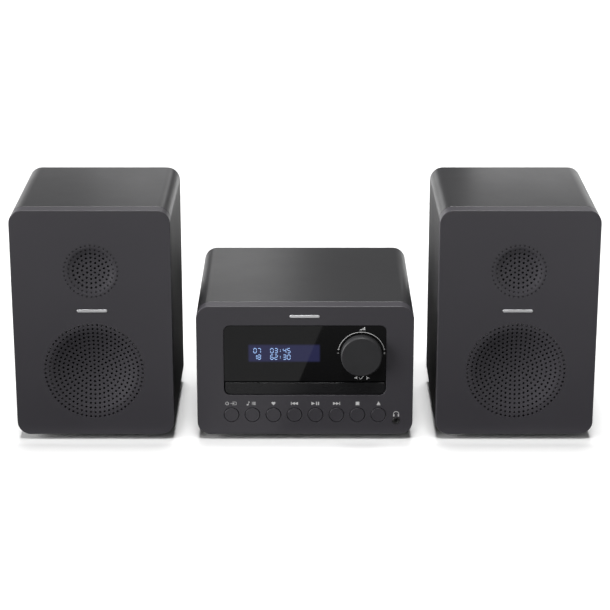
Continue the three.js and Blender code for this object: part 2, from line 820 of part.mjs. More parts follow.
// The driver's frame: a mounting flange, a conical basket and a back ring that the magnet sits on.
function wooferFrame() {
  const { frameRadius, frameWall, frameBack } = woofer;
  const mouth = woofer.coneRadius + woofer.coneGap;
  const hole = woofer.coilRadius + coilGap + woofer.backHole;
  return turned(
    [
      [frameRadius, wooferFront],
      [frameRadius, wooferFront + frameWall],
      [mouth + frameWall, wooferFront + frameWall],
      [frameBack, wooferBack - frameWall],
      [frameBack, wooferBack],
      [hole, wooferBack],
      [hole, wooferBack - frameWall],
      [frameBack - frameWall, wooferBack - frameWall],
      [mouth, wooferFront + frameWall],
      [mouth, wooferFront],
    ],
    0,
    wooferZ,
  );
}

// The cone with its dust cap, and the coil former that reaches into the magnet.
function wooferCone() {
  const front = wooferFront + woofer.excursion + clearance;
  const neck = front + woofer.coneDepth - woofer.excursion;
  const inner = woofer.coilRadius - woofer.coilWall / 2;
  const outer = woofer.coilRadius + woofer.coilWall / 2;
  const coilEnd = wooferBack + woofer.magnetDepth / 2 - woofer.excursion;
  const cap = neck - woofer.capHeight;
  return turned(
    [
      [0, cap],
      [inner + woofer.capRim, neck - woofer.capRim],
      [woofer.coneRadius, front],
      [woofer.coneRadius, front + woofer.coneWall],
      [outer, neck + woofer.coneWall],
      [outer, coilEnd],
      [inner, coilEnd],
      [inner, neck],
      [0, cap + woofer.coneWall],
    ],
    0,
    wooferZ,
  );
}

// The magnet, with the ring-shaped gap that the coil moves in.
function wooferMagnet() {
  const front = wooferBack + clearance;
  const back = front + woofer.magnetDepth;
  const gapDepth = woofer.magnetDepth - woofer.magnetFloor;
  return turned(
    [
      [0, front],
      [woofer.coilRadius - coilGap, front],
      [woofer.coilRadius - coilGap, front + gapDepth],
      [woofer.coilRadius + coilGap, front + gapDepth],
      [woofer.coilRadius + coilGap, front],
      [woofer.magnetRadius, front],
      [woofer.magnetRadius, back],
      [0, back],
    ],
    0,
    wooferZ,
  );
}

// The tweeter: a flange with its dome in front and its magnet behind.
function tweeterUnit() {
  const { domeShoulder } = tweeter;
  const apex = tweeter.dishDepth + dishShell + driverGap.tweeter;
  const face = apex + tweeter.domeHeight;
  const end = face + tweeter.flangeDepth;
  return turned(
    [
      [0, apex],
      [domeShoulder.radius, apex + domeShoulder.height],
      [tweeter.dome, face],
      [tweeter.flange, face],
      [tweeter.flange, end],
      [tweeter.body, end],
      [tweeter.body, end + tweeter.bodyDepth],
      [0, end + tweeter.bodyDepth],
    ],
    0,
    tweeterZ,
  );
}

const portZ = speaker.height - port.belowTop;

function speakerBackPlate() {
  const hole = bar(port.bore + port.wall + clearance, ...throughBack(speaker), 0, portZ, 32);
  return cut(backPlate(speaker), [terminalCutOut(speaker, 2, 0, speakerTerminals.z), hole]);
}

// The bass port: a tube through the back plate with a flared mouth.
function portTube() {
  const face = backFace(speaker) + clearance;
  const outer = port.bore + port.wall;
  return turned(
    [
      [port.bore, face - port.length],
      [outer, face - port.length],
      [outer, face],
      [outer + port.flare, face],
      [outer + port.flare, face + port.flareDepth],
      [port.bore + port.flareDepth, face + port.flareDepth],
      [port.bore, face],
    ],
    0,
    portZ,
  );
}

function speakerUnit(side, x) {
  const group = new THREE.Group();
  group.position.x = x;
  const leverAt = (i) => terminalLever(speaker, terminalX(2, i), speakerTerminals.z);
  group.add(
    piece(`${side}_cabinet`, sleeve(speaker), finishes.cabinet),
    piece(`${side}_baffle`, baffle(), finishes.fascia),
    piece(`${side}_back_plate`, speakerBackPlate(), finishes.inner),
    piece(`${side}_woofer_frame`, wooferFrame(), finishes.steel),
    piece(`${side}_woofer_cone`, wooferCone(), finishes.paper),
    piece(`${side}_woofer_magnet`, wooferMagnet(), finishes.ferrite),
    piece(`${side}_tweeter`, tweeterUnit(), finishes.inner),
    piece(`${side}_port_tube`, portTube(), finishes.inner),
    piece(`${side}_terminals`, terminalBlock(speaker, 2, 0, speakerTerminals.z), finishes.inner),
    piece(`${side}_lever_plus`, leverAt(0), finishes.red),
    piece(`${side}_lever_minus`, leverAt(1), finishes.black),
    ...footStrips(side, speaker),
  );
  return group;
}

// ---------------------------------------------------------------- the set

function mainUnitGroup() {
  const group = new THREE.Group();
  const leverNames = ["left_plus", "left_minus", "right_plus", "right_minus"];
  const levers = leverNames.map((name, i) => {
    const shape = terminalLever(mainUnit, mainTerminalsX + terminalX(4, i), mainTerminals.z);
    return piece(`main_lever_${name}`, shape, name.endsWith("plus") ? finishes.red : finishes.black);
  });
  const inlet = backSocket(powerInlet, powerInletX, powerInlet.flange, powerInlet.proud - clearance);
  group.add(
    piece("main_cabinet", sleeve(mainUnit), finishes.cabinet),
    piece("main_fascia", mainFascia(), finishes.fascia),
    piece("display_window", windowGlass(), finishes.gloss),
    piece("display_module", displayModule(), finishes.screen),
    piece("volume_knob", volumeKnob(), finishes.control),
    piece("encoder_plunger", encoderPlunger(), finishes.steel),
    piece("encoder_body", encoderBody(), finishes.steel),
    ...buttonNames.map((name, i) => piece(`${name}_button`, pushButton(i), finishes.control)),
    piece("control_board", controlBoard(), finishes.board),
    piece("headphone_jack", headphoneJack(), finishes.inner),
    piece("disc_tray", discTray(), finishes.inner),
    piece("tray_door", trayDoor(), finishes.gloss),
    piece("tray_gear", trayGear(), finishes.acetal),
    piece("loader_frame", loaderFrame(), finishes.steel),
    piece("disc_turntable", discTurntable(), finishes.black),
    piece("laser_sled", laserSled(), finishes.inner),
    piece("main_board", circuitBoard(), finishes.board),
    piece("main_back_plate", mainBackPlate(), finishes.inner),
    piece("main_terminals", terminalBlock(mainUnit, 4, mainTerminalsX, mainTerminals.z), finishes.inner),
    ...levers,
    piece("power_inlet", inlet, finishes.black),
    piece("aerial_socket", backSocket(aerial, aerial.x, aerial.nut, aerial.nutDepth), finishes.steel),
    ...footStrips("main", mainUnit),
  );
  return group;
}

const set = new THREE.Group();
const speakerX = mainUnit.width / 2 + unitSpacing + speaker.width / 2;
set.add(mainUnitGroup(), speakerUnit("left", -speakerX), speakerUnit("right", speakerX));

// The set reaches from the knob's face to the tip of the aerial socket, and the origin is halfway.
const middleY = (backFace(mainUnit) + aerial.proud - knob.proud) / 2;
set.position.set(0, -middleY, foot.height);

export default set;
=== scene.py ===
# A mini hifi set: a main unit with a disc tray, and two speakers with perforated fronts.
# The frame is in metres, +Z up, fronts towards -Y; lengths in the dictionaries below are millimetres.
import math

import bpy
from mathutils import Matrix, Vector
from mathutils.geometry import delaunay_2d_cdt, tessellate_polygon


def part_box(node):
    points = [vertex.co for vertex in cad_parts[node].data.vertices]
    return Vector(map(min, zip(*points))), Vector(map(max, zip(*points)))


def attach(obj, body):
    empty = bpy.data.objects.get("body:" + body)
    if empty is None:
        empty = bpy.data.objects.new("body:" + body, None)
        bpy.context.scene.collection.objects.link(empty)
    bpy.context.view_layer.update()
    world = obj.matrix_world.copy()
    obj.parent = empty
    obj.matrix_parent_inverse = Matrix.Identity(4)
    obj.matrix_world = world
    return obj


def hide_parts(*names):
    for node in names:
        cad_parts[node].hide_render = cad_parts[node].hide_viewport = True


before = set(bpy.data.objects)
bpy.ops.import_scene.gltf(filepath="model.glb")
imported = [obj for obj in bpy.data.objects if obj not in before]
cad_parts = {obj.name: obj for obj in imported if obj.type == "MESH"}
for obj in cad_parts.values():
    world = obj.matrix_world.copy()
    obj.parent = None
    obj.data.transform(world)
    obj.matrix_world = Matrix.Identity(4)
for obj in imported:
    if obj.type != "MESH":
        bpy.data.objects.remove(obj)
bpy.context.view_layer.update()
mm = 0.001


def say(text):
    print(f"hifi: {text}", flush=True)


# Places inside a unit are counted in millimetres from the middle of its front's lower edge:
# u to the right, v upwards and d backwards.
class Unit:
    def __init__(self, frontNode, sleeveNode, plateNode):
        low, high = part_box(frontNode)
        self.origin = Vector(((low.x + high.x) / 2, low.y, low.z))
        self.width, self.frontDepth, self.height = (high - low) / mm
        self.sleeve = self.span(sleeveNode)
        self.plate = self.span(plateNode)

    def span(self, node):
        # A node's lowest and highest u, v and d.
        low, high = ((corner - self.origin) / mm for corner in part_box(node))
        return (low.x, low.z, low.y), (high.x, high.z, high.y)

    def middle(self, node):
        low, high = self.span(node)
        return tuple((a + b) / 2 for a, b in zip(low, high))


mainUnit = Unit("main_fascia", "main_cabinet", "main_back_plate")
leftSpeaker = Unit("left_baffle", "left_cabinet", "left_back_plate")
rightSpeaker = Unit("right_baffle", "right_cabinet", "right_back_plate")
speakers = {"left": leftSpeaker, "right": rightSpeaker}

# Camera, from a little above and far enough back to flatten the set.
cameraSetup = {"distance": 1640.55, "height": 659.17, "lookDown": 18.2766, "lens": 120.75, "sensor": 36}


def makeCamera():
    data = bpy.data.cameras.new("camera")
    data.lens, data.sensor_width = cameraSetup["lens"], cameraSetup["sensor"]
    data.clip_end = 50
    camera = bpy.data.objects.new("camera", data)
    bpy.context.scene.collection.objects.link(camera)
    camera.location = mainUnit.origin + Vector((0, -cameraSetup["distance"], cameraSetup["height"])) * mm
    camera.rotation_euler = (math.radians(90 - cameraSetup["lookDown"]), 0, 0)
    bpy.context.scene.camera = camera


makeCamera()
say("camera stands")


# Shaders. A Value wraps a socket, and an expression on Values adds the Math nodes for it.
class Value:
    def __init__(self, shader, socket):
        self.shader, self.socket = shader, socket

    def worked(self, operation, *terms):
        return self.shader.node("ShaderNodeMath", {"operation": operation}, dict(enumerate(terms)))

    def __add__(self, other):
        return self.worked("ADD", self, other)

    def __radd__(self, other):
        return self.worked("ADD", other, self)

    def __sub__(self, other):
        return self.worked("SUBTRACT", self, other)

    def __rsub__(self, other):
        return self.worked("SUBTRACT", other, self)

    def __mul__(self, other):
        return self.worked("MULTIPLY", self, other)

    def __rmul__(self, other):
        return self.worked("MULTIPLY", other, self)

    def __pow__(self, other):
        return self.worked("POWER", self, other)

    def wave(self):
        return self.worked("SINE", self)


class Shader:
    def __init__(self, name, world=None):
        owner = world or bpy.data.materials.new(name)
        owner.use_nodes = True
        self.owner, self.tree = owner, owner.node_tree
        self.tree.nodes.clear()

    def node(self, kind, settings=None, sockets=None, out=0):
        made = self.tree.nodes.new(kind)
        for key, value in (settings or {}).items():
            if key == "stops":
                ramp = made.color_ramp.elements
                while len(ramp) < len(value):
                    ramp.new(0.5)
                for stop, (position, level) in zip(ramp, value):
                    stop.position, stop.color = position, (level, level, level, 1)
            else:
                setattr(made, key, value)
        for key, value in (sockets or {}).items():
            if isinstance(value, Value):
                self.tree.links.new(value.socket, made.inputs[key])
            else:
                isColour = made.inputs[key].type == "RGBA" and len(value) == 3
                made.inputs[key].default_value = (*value, 1) if isColour else value
        return Value(self, made.outputs[out]) if made.outputs else None

    def place(self):
        return self.node("ShaderNodeTexCoord", out="Object")

    def along(self, axis):
        return self.node("ShaderNodeSeparateXYZ", None, {0: self.place()}, axis)

    def noise(self, scale, detail=2.0, roughness=0.5, stretch=None):
        where = self.place()
        if stretch:
            where = self.node("ShaderNodeMapping", None, {"Vector": where, "Scale": stretch})
        sockets = {"Vector": where, "Scale": scale, "Detail": detail, "Roughness": roughness}
        return self.node("ShaderNodeTexNoise", None, sockets)

    def spread(self, value, low, high):
        return self.node("ShaderNodeMapRange", None, {"Value": value, "To Min": low, "To Max": high})

    def steps(self, value, stops):
        return self.node("ShaderNodeValToRGB", {"stops": stops}, {"Fac": value})

    def mixed(self, factor, first, second):
        return self.node("ShaderNodeMix", {"data_type": "RGBA"}, {"Factor": factor, 6: first, 7: second}, 2)

    def bump(self, height, strength, distance):
        sockets = {"Height": height, "Strength": strength, "Distance": distance}
        return self.node("ShaderNodeBump", None, sockets)

    def done(self, **sockets):
        named = {key.replace("_", " "): value for key, value in sockets.items()}
        body = self.node("ShaderNodeBsdfPrincipled", None, named)
        self.node("ShaderNodeOutputMaterial", None, {"Surface": body})
        return self.owner


def toned(colour, share):
    return tuple(channel * share for channel in colour)


# A moulded or wrapped satin surface: fine grain, and handling marks that change the sheen a little.
def satin(name, colour, rough, grain=0.3, depth=0.02, uneven=0.05, **more):
    shader = Shader(name)
    fine = shader.noise(1000 / grain, 2, 0.6)
    marks = shader.noise(22, 5, 0.65)
    clouds = shader.noise(7, 2)
    tone = clouds * 0.6 + fine * 0.4
    base = shader.mixed(tone, toned(colour, 0.8), toned(colour, 1.25))
    sheen = shader.spread(marks, rough - uneven, rough + uneven) + (fine - 0.5) * 0.08
    return shader.done(Base_Color=base, Roughness=sheen, Normal=shader.bump(fine, 0.3, depth * mm), **more)


# A face turned on a lathe: fine rings round an axis that runs back through (u, v) of the main unit.
def turnedFace(name, colour, rough, centre, pitch):
    shader = Shader(name)
    across = shader.along("X") - centre.x
    up = shader.along("Z") - centre.z
    radius = (across * across + up * up) ** 0.5
    rings = (radius * (2 * math.pi / (pitch * mm))).wave()
    fine = shader.noise(2600, 2, 0.6)
    base = shader.mixed(shader.noise(45, 4, 0.6), toned(colour, 0.85), toned(colour, 1.2))
    sheen = shader.spread(fine, rough - 0.05, rough + 0.05)
    relief = rings * 0.5 + fine * 0.5
    normal = shader.bump(relief, 0.25, 0.01 * mm)
    return shader.done(Base_Color=base, Roughness=sheen, Normal=normal, Specular_IOR_Level=0.12)


# Polished plastic with a trace of dust and the marks of a cloth.
def polished(name, colour, rough, level):
    shader = Shader(name)
    dust = shader.steps(shader.noise(800, 3, 0.7), [(0.7, 0), (0.82, 1)])
    wiped = shader.noise(30, 5, 0.7, (1, 1, 3))
    base = shader.mixed(dust * 0.04, colour, (0.2, 0.2, 0.2))
    sheen = shader.spread(wiped, rough * 0.7, rough * 1.5) + dust * 0.12
    return shader.done(Base_Color=base, Roughness=sheen, Specular_IOR_Level=level)


# Plated or drawn metal, its fine marks stretched along one direction.
def drawnMetal(name, colour, rough, stretch=(1, 12, 1)):
    shader = Shader(name)
    marks = shader.noise(350, 4, 0.6, stretch)
    stains = shader.noise(30, 4, 0.6)
    base = shader.mixed(stains, toned(colour, 0.85), toned(colour, 1.08))
    sheen = shader.spread(marks, rough - 0.08, rough + 0.1)
    return shader.done(
        Base_Color=base, Roughness=sheen, Metallic=1.0, Normal=shader.bump(marks, 0.2, 0.01 * mm)
    )


# Screen-printed ink, slightly uneven.
def ink(name, colour):
    shader = Shader(name)
    thin = shader.noise(1500, 3, 0.7)
    base = shader.mixed(thin, toned(colour, 0.85), toned(colour, 1.1))
    return shader.done(Base_Color=base, Roughness=shader.spread(thin, 0.45, 0.65))


# Two tones in a coarse grain, for pulp, ferrite and circuit board.
def flecked(name, colour, second, rough, grain, depth):
    shader = Shader(name)
    fine = shader.noise(1000 / grain, 4, 0.65)
    flecks = shader.node("ShaderNodeTexVoronoi", None, {"Vector": shader.place(), "Scale": 600 / grain})
    base = shader.mixed(fine * 0.7 + flecks * 0.3, colour, second)
    sheen = shader.spread(fine, rough - 0.08, rough + 0.08)
    return shader.done(Base_Color=base, Roughness=sheen, Normal=shader.bump(fine, 0.4, depth * mm))


# How weakly a finish mirrors, below a plastic's usual 0.5.
dull, duller = {"Specular_IOR_Level": 0.3}, {"Specular_IOR_Level": 0.25}
finishes = {
    "cabinet_sleeve": satin("cabinetWrap", (0.012, 0.012, 0.0128), 0.34, 0.35, 0.03, **dull),
    "front_moulding": satin("frontMoulding", (0.0285, 0.027, 0.031), 0.4, 0.25, 0.03, **duller),
    "button_plastic": satin("buttonPlastic", (0.0275, 0.026, 0.03), 0.4, 0.2, 0.02, **duller),
    "rubber": satin("rubberFoot", (0.008, 0.008, 0.008), 0.8, 0.5, 0.06, **dull),
    "inner_plastic": satin("innerPlastic", (0.012, 0.012, 0.013), 0.5, 0.4, 0.04),
    "white_plastic": satin("acetal", (0.62, 0.61, 0.57), 0.4, 0.5, 0.02),
    "terminal_red": satin("terminalRed", (0.36, 0.012, 0.01), 0.35, 0.4, 0.02),
    "terminal_black": satin("terminalBlack", (0.011, 0.011, 0.011), 0.35, 0.4, 0.02),
    "steel": drawnMetal("platedSteel", (0.55, 0.55, 0.56), 0.3),
    "magnet": flecked("ferrite", (0.03, 0.03, 0.032), (0.05, 0.048, 0.047), 0.7, 0.6, 0.05),
    "cone_paper": flecked("conePulp", (0.011, 0.011, 0.012), (0.02, 0.02, 0.02), 0.85, 0.8, 0.08),
    "circuit_board": flecked("circuitBoard", (0.01, 0.06, 0.025), (0.015, 0.09, 0.04), 0.45, 2.0, 0.02),
}
printedInk = ink("printedInk", (0.4, 0.4, 0.4))
say("finishes are mixed")


# Outlines are closed lists of (u, v, outward u, outward v).
def roundRect(left, right, bottom, top, upper, lower=None, steps=8):
    lower = upper if lower is None else lower
    corners = [
        (right - lower, bottom + lower, lower, -90),
        (right - upper, top - upper, upper, 0),
        (left + upper, top - upper, upper, 90),
        (left + lower, bottom + lower, lower, 180),
    ]
    loop = []
    for u, v, radius, start in corners:
        for k in range(steps + 1):
            turn = math.radians(start + 90 * k / steps)
            a, b = math.cos(turn), math.sin(turn)
            loop.append((u + radius * a, v + radius * b, a, b))
    return loop


def circle(u, v, radius, steps=48):
    turns = [2 * math.pi * k / steps for k in range(steps)]
    return [(u + radius * math.cos(t), v + radius * math.sin(t), math.cos(t), math.sin(t)) for t in turns]


def hole(loop):
    return [(u, v, -a, -b) for u, v, a, b in loop]


def moved(loop, inset):
    return [(u - a * inset, v - b * inset, a, b) for u, v, a, b in loop]


# A profile runs through corners of (inset, depth, radius), out over the front and back along the side.
# It gives stretches of two ends, each an inset, a depth and the normal's share of both.
def profile(corners, closed=False, steps=4):
    spots = [Vector(corner[:2]) for corner in corners]
    count = len(spots)
    spans = count if closed else count - 1
    along = [(spots[(i + 1) % count] - spots[i]).normalized() for i in range(spans)]
    side = [Vector((-step.y, step.x)) for step in along]
    ends = []
    for i, (spot, corner) in enumerate(zip(spots, corners)):
        if not closed and i in (0, count - 1):
            ends.append((*spot, *side[min(i, spans - 1)]))
            continue
        before, after = along[i - 1], along[i % spans]
        turn = math.atan2(before.x * after.y - before.y * after.x, before.dot(after))
        radius = corner[2] if len(corner) > 2 else 0
        if radius == 0:
            ends += [(*spot, *side[i - 1]), (*spot, *side[i % spans])]
            continue
        start = spot - before * radius * math.tan(abs(turn) / 2)
        bulge = -math.copysign(radius, turn)
        centre = start - side[i - 1] * bulge
        for k in range(steps + 1):
            angle = turn * k / steps
            first = side[i - 1]
            normal = Vector((
                first.x * math.cos(angle) - first.y * math.sin(angle),
                first.x * math.sin(angle) + first.y * math.cos(angle),
            ))
            ends.append((*(centre + normal * bulge), *normal))
    if closed:
        ends.append(ends[0])
    return list(zip(ends, ends[1:]))


# A mesh gathered face by face, each corner with its own normal, so that flats stay flat and rounds round.
# Its depth runs "back" along +Y, "down" along -Z, or "side" along +X.
class Form:
    def __init__(self, origin=mainUnit.origin, axis="back"):
        self.origin, self.axis = origin, axis
        self.points, self.known, self.faces, self.normals = [], {}, [], []

    def turned(self, u, v, d):
        if self.axis == "back":
            return Vector((u, d, v))
        return Vector((u, v, -d)) if self.axis == "down" else Vector((d, u, v))

    def face(self, corners):
        kept = {}
        for spot, normal in corners:
            point = self.origin + self.turned(*spot) * mm
            key = tuple(round(value * 1e6) for value in point)
            if key not in self.known:
                self.known[key] = len(self.points)
                self.points.append(point)
            kept.setdefault(self.known[key], self.turned(*normal))
        if len(kept) < 3:
            return
        a, b, c = [self.points[index] for index in list(kept)[:3]]
        order = list(kept.items())
        if (b - a).cross(c - a).dot(sum(kept.values(), Vector())) < 0:
            order.reverse()
        self.faces.append([index for index, _ in order])
        self.normals += [normal for _, normal in order]

    def ring(self, loop, stretches, closed=True):
        for (u0, v0, a0, b0), (u1, v1, a1, b1) in zip(loop, loop[1:] + (loop[:1] if closed else [])):
            for (i, d, ni, nd), (j, e, mi, me) in stretches:
                self.face([
                    ((u0 - a0 * i, v0 - b0 * i, d), (-a0 * ni, -b0 * ni, nd)),
                    ((u0 - a0 * j, v0 - b0 * j, e), (-a0 * mi, -b0 * mi, me)),
                    ((u1 - a1 * j, v1 - b1 * j, e), (-a1 * mi, -b1 * mi, me)),
                    ((u1 - a1 * i, v1 - b1 * i, d), (-a1 * ni, -b1 * ni, nd)),
                ])

    def cap(self, loops, depth, facing=-1):
        flat = [[Vector((u, v, 0)) for u, v, *_ in loop] for loop in loops]
        spots = [spot for loop in flat for spot in loop]
        for triangle in tessellate_polygon(flat):
            self.face([((spots[i].x, spots[i].y, depth), (0, 0, facing)) for i in triangle])

    # A turned body: the profile's insets are minus its radii, from the axis out and back to the axis.
    def turn(self, u, v, corners, steps=64, closed=False):
        self.ring(circle(u, v, 0, steps), profile([(-r, *rest) for r, *rest in corners], closed))

    # A body with an outline, a front and a back, and rounded edges.
    def slab(self, loop, front, back, edge, rear=None, holes=()):
        rear = edge if rear is None else rear
        self.ring(loop, profile([(edge, front), (0, front, edge), (0, back, rear), (rear, back)]))
        self.cap([moved(loop, edge)] + [moved(other, edge) for other in holes], front)
        self.cap([moved(loop, rear)] + [moved(other, rear) for other in holes], back, 1)
        for other in holes:
            self.ring(other, profile([(edge, front), (0, front, edge), (0, back, rear), (rear, back)]))

    def wall(self, first, second, front, back, facing):
        spots = ((*first, front), (*second, front), (*second, back), (*first, back))
        self.face([(spot, (*facing, 0)) for spot in spots])

    # Flat walls round a plain list of (u, v) points, facing out of it, or into it with a way of -1.
    def walls(self, points, front, back, way=1):
        pairs = list(zip(points, points[1:] + points[:1]))
        area = sum(p[0] * q[1] - q[0] * p[1] for p, q in pairs)
        sign = math.copysign(way, area * way)
        for p, q in pairs:
            self.wall(p, q, front, back, (sign * (q[1] - p[1]), sign * (p[0] - q[0])))

    def prism(self, points, front, back):
        loop = [(u, v, 0, 0) for u, v in points]
        self.cap([loop], front)
        self.cap([loop], back, 1)
        self.walls(points, front, back)

    def box(self, left, right, bottom, top, front, back, edge=0.3):
        self.slab(roundRect(left, right, bottom, top, edge, steps=2), front, back, edge)

    def mesh(self, name, finish):
        mesh = bpy.data.meshes.new(name)
        mesh.from_pydata(self.points, [], self.faces)
        mesh.polygons.foreach_set("use_smooth", [True] * len(self.faces))
        mesh.normals_split_custom_set([normal.normalized() for normal in self.normals])
        mesh.materials.append(finish)
        return mesh


def settled(name, mesh, body, nodes=(), across=0.0):
    piece = bpy.data.objects.new(name, mesh)
    bpy.context.scene.collection.objects.link(piece)
    piece.location.x = across
    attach(piece, body)
    if nodes:
        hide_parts(*nodes)
    return piece


def placed(name, form, slot, nodes=(), body="root", finish=None):
    return settled(name, form.mesh(name, finish or finishes[slot]), body, nodes)


# The same mesh on both speakers; "*" in a node's or a body's name stands for the side.
def pair(name, form, slot, nodes=(), body="root", finish=None):
    mesh = form.mesh(name, finish or finishes[slot])
    for side, unit in speakers.items():
        named = [node.replace("*", side) for node in nodes]
        settled(f"{side}_{name}", mesh, body.replace("*", side), named, unit.origin.x - speakerOrigin.x)


speakerOrigin = Vector((0, leftSpeaker.origin.y, leftSpeaker.origin.z))


# Sleeves: the wrapped top, sides and bottom of each unit.
casing = {"corner": 11.5, "edge": 0.45, "frontEdge": 0.6, "mainWall": 3.0, "speakerWall": 6.0}


def sleeve(unit, wall, origin):
    (left, bottom, front), (right, top, back) = unit.sleeve
    edge = casing["edge"]
    form = Form(origin)
    shape = roundRect(left, right, bottom, top, casing["corner"], steps=12)
    corners = [(wall, front, edge), (0, front, edge), (0, back, edge), (wall, back, edge)]
    form.ring(shape, profile(corners, True))
    return form


mainSleeve = sleeve(mainUnit, casing["mainWall"], mainUnit.origin)
placed("main_sleeve", mainSleeve, "cabinet_sleeve", ["main_cabinet"])
speakerSleeve = sleeve(leftSpeaker, casing["speakerWall"], speakerOrigin)
pair("sleeve", speakerSleeve, "cabinet_sleeve", ["*_cabinet"])
say("sleeves are on")


# Perforated fronts: two shallow dishes of round holes in rings of six, twelve, eighteen and so on.
woofer = {
    "depth": 6.5, "rim": 36.9, "power": 2, "lip": 1.16, "edge": 42.5,
    "rings": 11, "outer": 41.55, "open": 11,  # rings of holes, the last one's radius, and how many go through
}
tweeter = {
    "depth": 2.45, "rim": 19.95, "power": 3, "lip": 0.3, "edge": 23.9,
    "rings": 6, "outer": 22.66, "open": 4,
}
perforation = {"radius": 0.98, "sides": 12, "wall": 2.0, "blind": 0.8, "blindRadius": 0.8, "margin": 0.6}
wooferV = leftSpeaker.middle("left_woofer_frame")[1]
tweeterV = leftSpeaker.middle("left_tweeter")[1]


def bowl(dish, radius):
    depth = dish["depth"] * (1 - (radius / dish["rim"]) ** dish["power"])
    return (depth + math.hypot(depth, dish["lip"])) / 2


def dishDepth(u, v):
    depth = 0
    for dish, centre in ((woofer, wooferV), (tweeter, tweeterV)):
        radius = math.hypot(u, v - centre)
        if radius < dish["edge"]:
            depth += bowl(dish, radius) - bowl(dish, dish["edge"])
    return depth


def dishNormal(u, v):
    step = 0.05
    slopeU = (dishDepth(u + step, v) - dishDepth(u - step, v)) / (2 * step)
    slopeV = (dishDepth(u, v + step) - dishDepth(u, v - step)) / (2 * step)
    return Vector((slopeU, slopeV, -1)).normalized()


def perforations():
    # Each hole is its centre, its radius and how deep it goes.
    holes = []
    for dish, centre in ((woofer, wooferV), (tweeter, tweeterV)):
        for ring in range(dish["rings"] + 1):
            count = max(6 * ring, 1)
            radius = dish["outer"] * ring / dish["rings"]
            through = ring <= dish["open"]
            for k in range(count):
                turn = 2 * math.pi * k / count
                spot = (radius * math.sin(turn), centre + radius * math.cos(turn))
                size = perforation["radius"] if through else perforation["blindRadius"]
                holes.append((spot, size, perforation["wall"] if through else perforation["blind"]))
    return holes


def perforatedFront():
    unit, wall, back = leftSpeaker, casing["speakerWall"], leftSpeaker.frontDepth
    edge, thick = casing["frontEdge"], perforation["wall"]
    form = Form(speakerOrigin)
    shape = roundRect(-unit.width / 2, unit.width / 2, 0, unit.height, casing["corner"], steps=12)
    rim = [(wall, 0), (0, 0, edge), (0, back, casing["edge"]), (wall, back, casing["edge"]), (wall, thick)]
    form.ring(shape, profile(rim))
    holes = perforations()
    spots, owners, edges = [], [], []

    def addLoop(loop, owner):
        start = len(spots)
        spots.extend(Vector((u, v)) for u, v, *_ in loop)
        owners.extend([owner] * len(loop))
        edges.extend((start + k, start + (k + 1) % len(loop)) for k in range(len(loop)))

    addLoop(moved(shape, wall), None)
    for dish, centre in ((woofer, wooferV), (tweeter, tweeterV)):
        outer = dish["outer"] + perforation["radius"]
        for share in (0.5, 1.0):
            reach = dish["edge"] + perforation["margin"] - outer
            addLoop(circle(0, centre, outer + reach * share, 72), None)
    for index, ((u, v), radius, _) in enumerate(holes):
        addLoop(circle(u, v, radius, perforation["sides"]), index)
    points, _, triangles, origins, *_ = delaunay_2d_cdt(spots, edges, [], 0, 1e-4)
    owner = [owners[origin[0]] if origin else None for origin in origins]
    heights = [(p.x, p.y, dishDepth(p.x, p.y)) for p in points]
    tilts = [dishNormal(p.x, p.y) for p in points]
    for triangle in triangles:
        inside = {owner[i] for i in triangle}
        filled = len(inside) > 1 or inside == {None}
        if filled:
            form.face([(heights[i], tilts[i]) for i in triangle])
        if filled or holes[inside.pop()][2] < thick:
            inner = [(heights[i], tilts[i]) for i in triangle]
            form.face([((u, v, d + thick), -tilt) for (u, v, d), tilt in inner])
    for (u, v), radius, deep in holes:
        loop = circle(u, v, radius, perforation["sides"])
        for (u0, v0, a0, b0), (u1, v1, a1, b1) in zip(loop, loop[1:] + loop[:1]):
            d0, d1 = dishDepth(u0, v0), dishDepth(u1, v1)
            first, second = (-a0, -b0, 0), (-a1, -b1, 0)
            form.face([
                ((u0, v0, d0), first), ((u1, v1, d1), second),
                ((u1, v1, d1 + deep), second), ((u0, v0, d0 + deep), first),
            ])
        if deep < thick:
            form.face([((p, q, dishDepth(p, q) + deep), dishNormal(p, q)) for p, q, *_ in loop])
    return form


pair("front", perforatedFront(), "front_moulding", ["*_baffle"])
say("perforated fronts are on")


# The main unit's front: the moulding with its window seat, tray mouth and holes for the controls.
opening = {
    "bottom": 36.0, "belowTop": 17.0, "sideGap": 0.25, "corner": 5.5, "seat": 2.6, "sill": 48.5,
    "plate": 4.0, "screenInset": 5.5, "knobHole": 4.0, "lip": 0.25,
}
window = mainUnit.span("display_window")
windowFace = window[0][2]
openingHalf = window[1][0] + opening["sideGap"]
openingTop = mainUnit.height - opening["belowTop"]
displayBox = mainUnit.span("display_module")
knob = {"edge": 0.7, "chamfer": 0.9, "dish": 0.12, "stem": 2.0, "ringGap": 0.8, "skirt": 1.1}
knobSpot = mainUnit.middle("volume_knob")
knobBox = mainUnit.span("volume_knob")
knobRadius = (knobBox[1][0] - knobBox[0][0]) / 2
jackBox = mainUnit.span("headphone_jack")
jack = {"collar": 3.0, "gap": 0.3, "bore": 1.8, "boreEnd": 13.0, "belowTop": 5.5, "contact": 0.3}
jackSpot = ((jackBox[0][0] + jackBox[1][0]) / 2, jackBox[1][1] - jack["belowTop"])
buttonNames = ["power", "info", "favourite", "previous", "play", "next", "stop", "eject"]
buttonSpots = {name: mainUnit.middle(f"{name}_button") for name in buttonNames}
buttonV = buttonSpots["power"][1]
button = {"radius": 6.1, "gap": 0.5, "edge": 0.35, "dish": 0.12, "tab": 3.5, "tabReach": 7.5, "stem": 2.0}


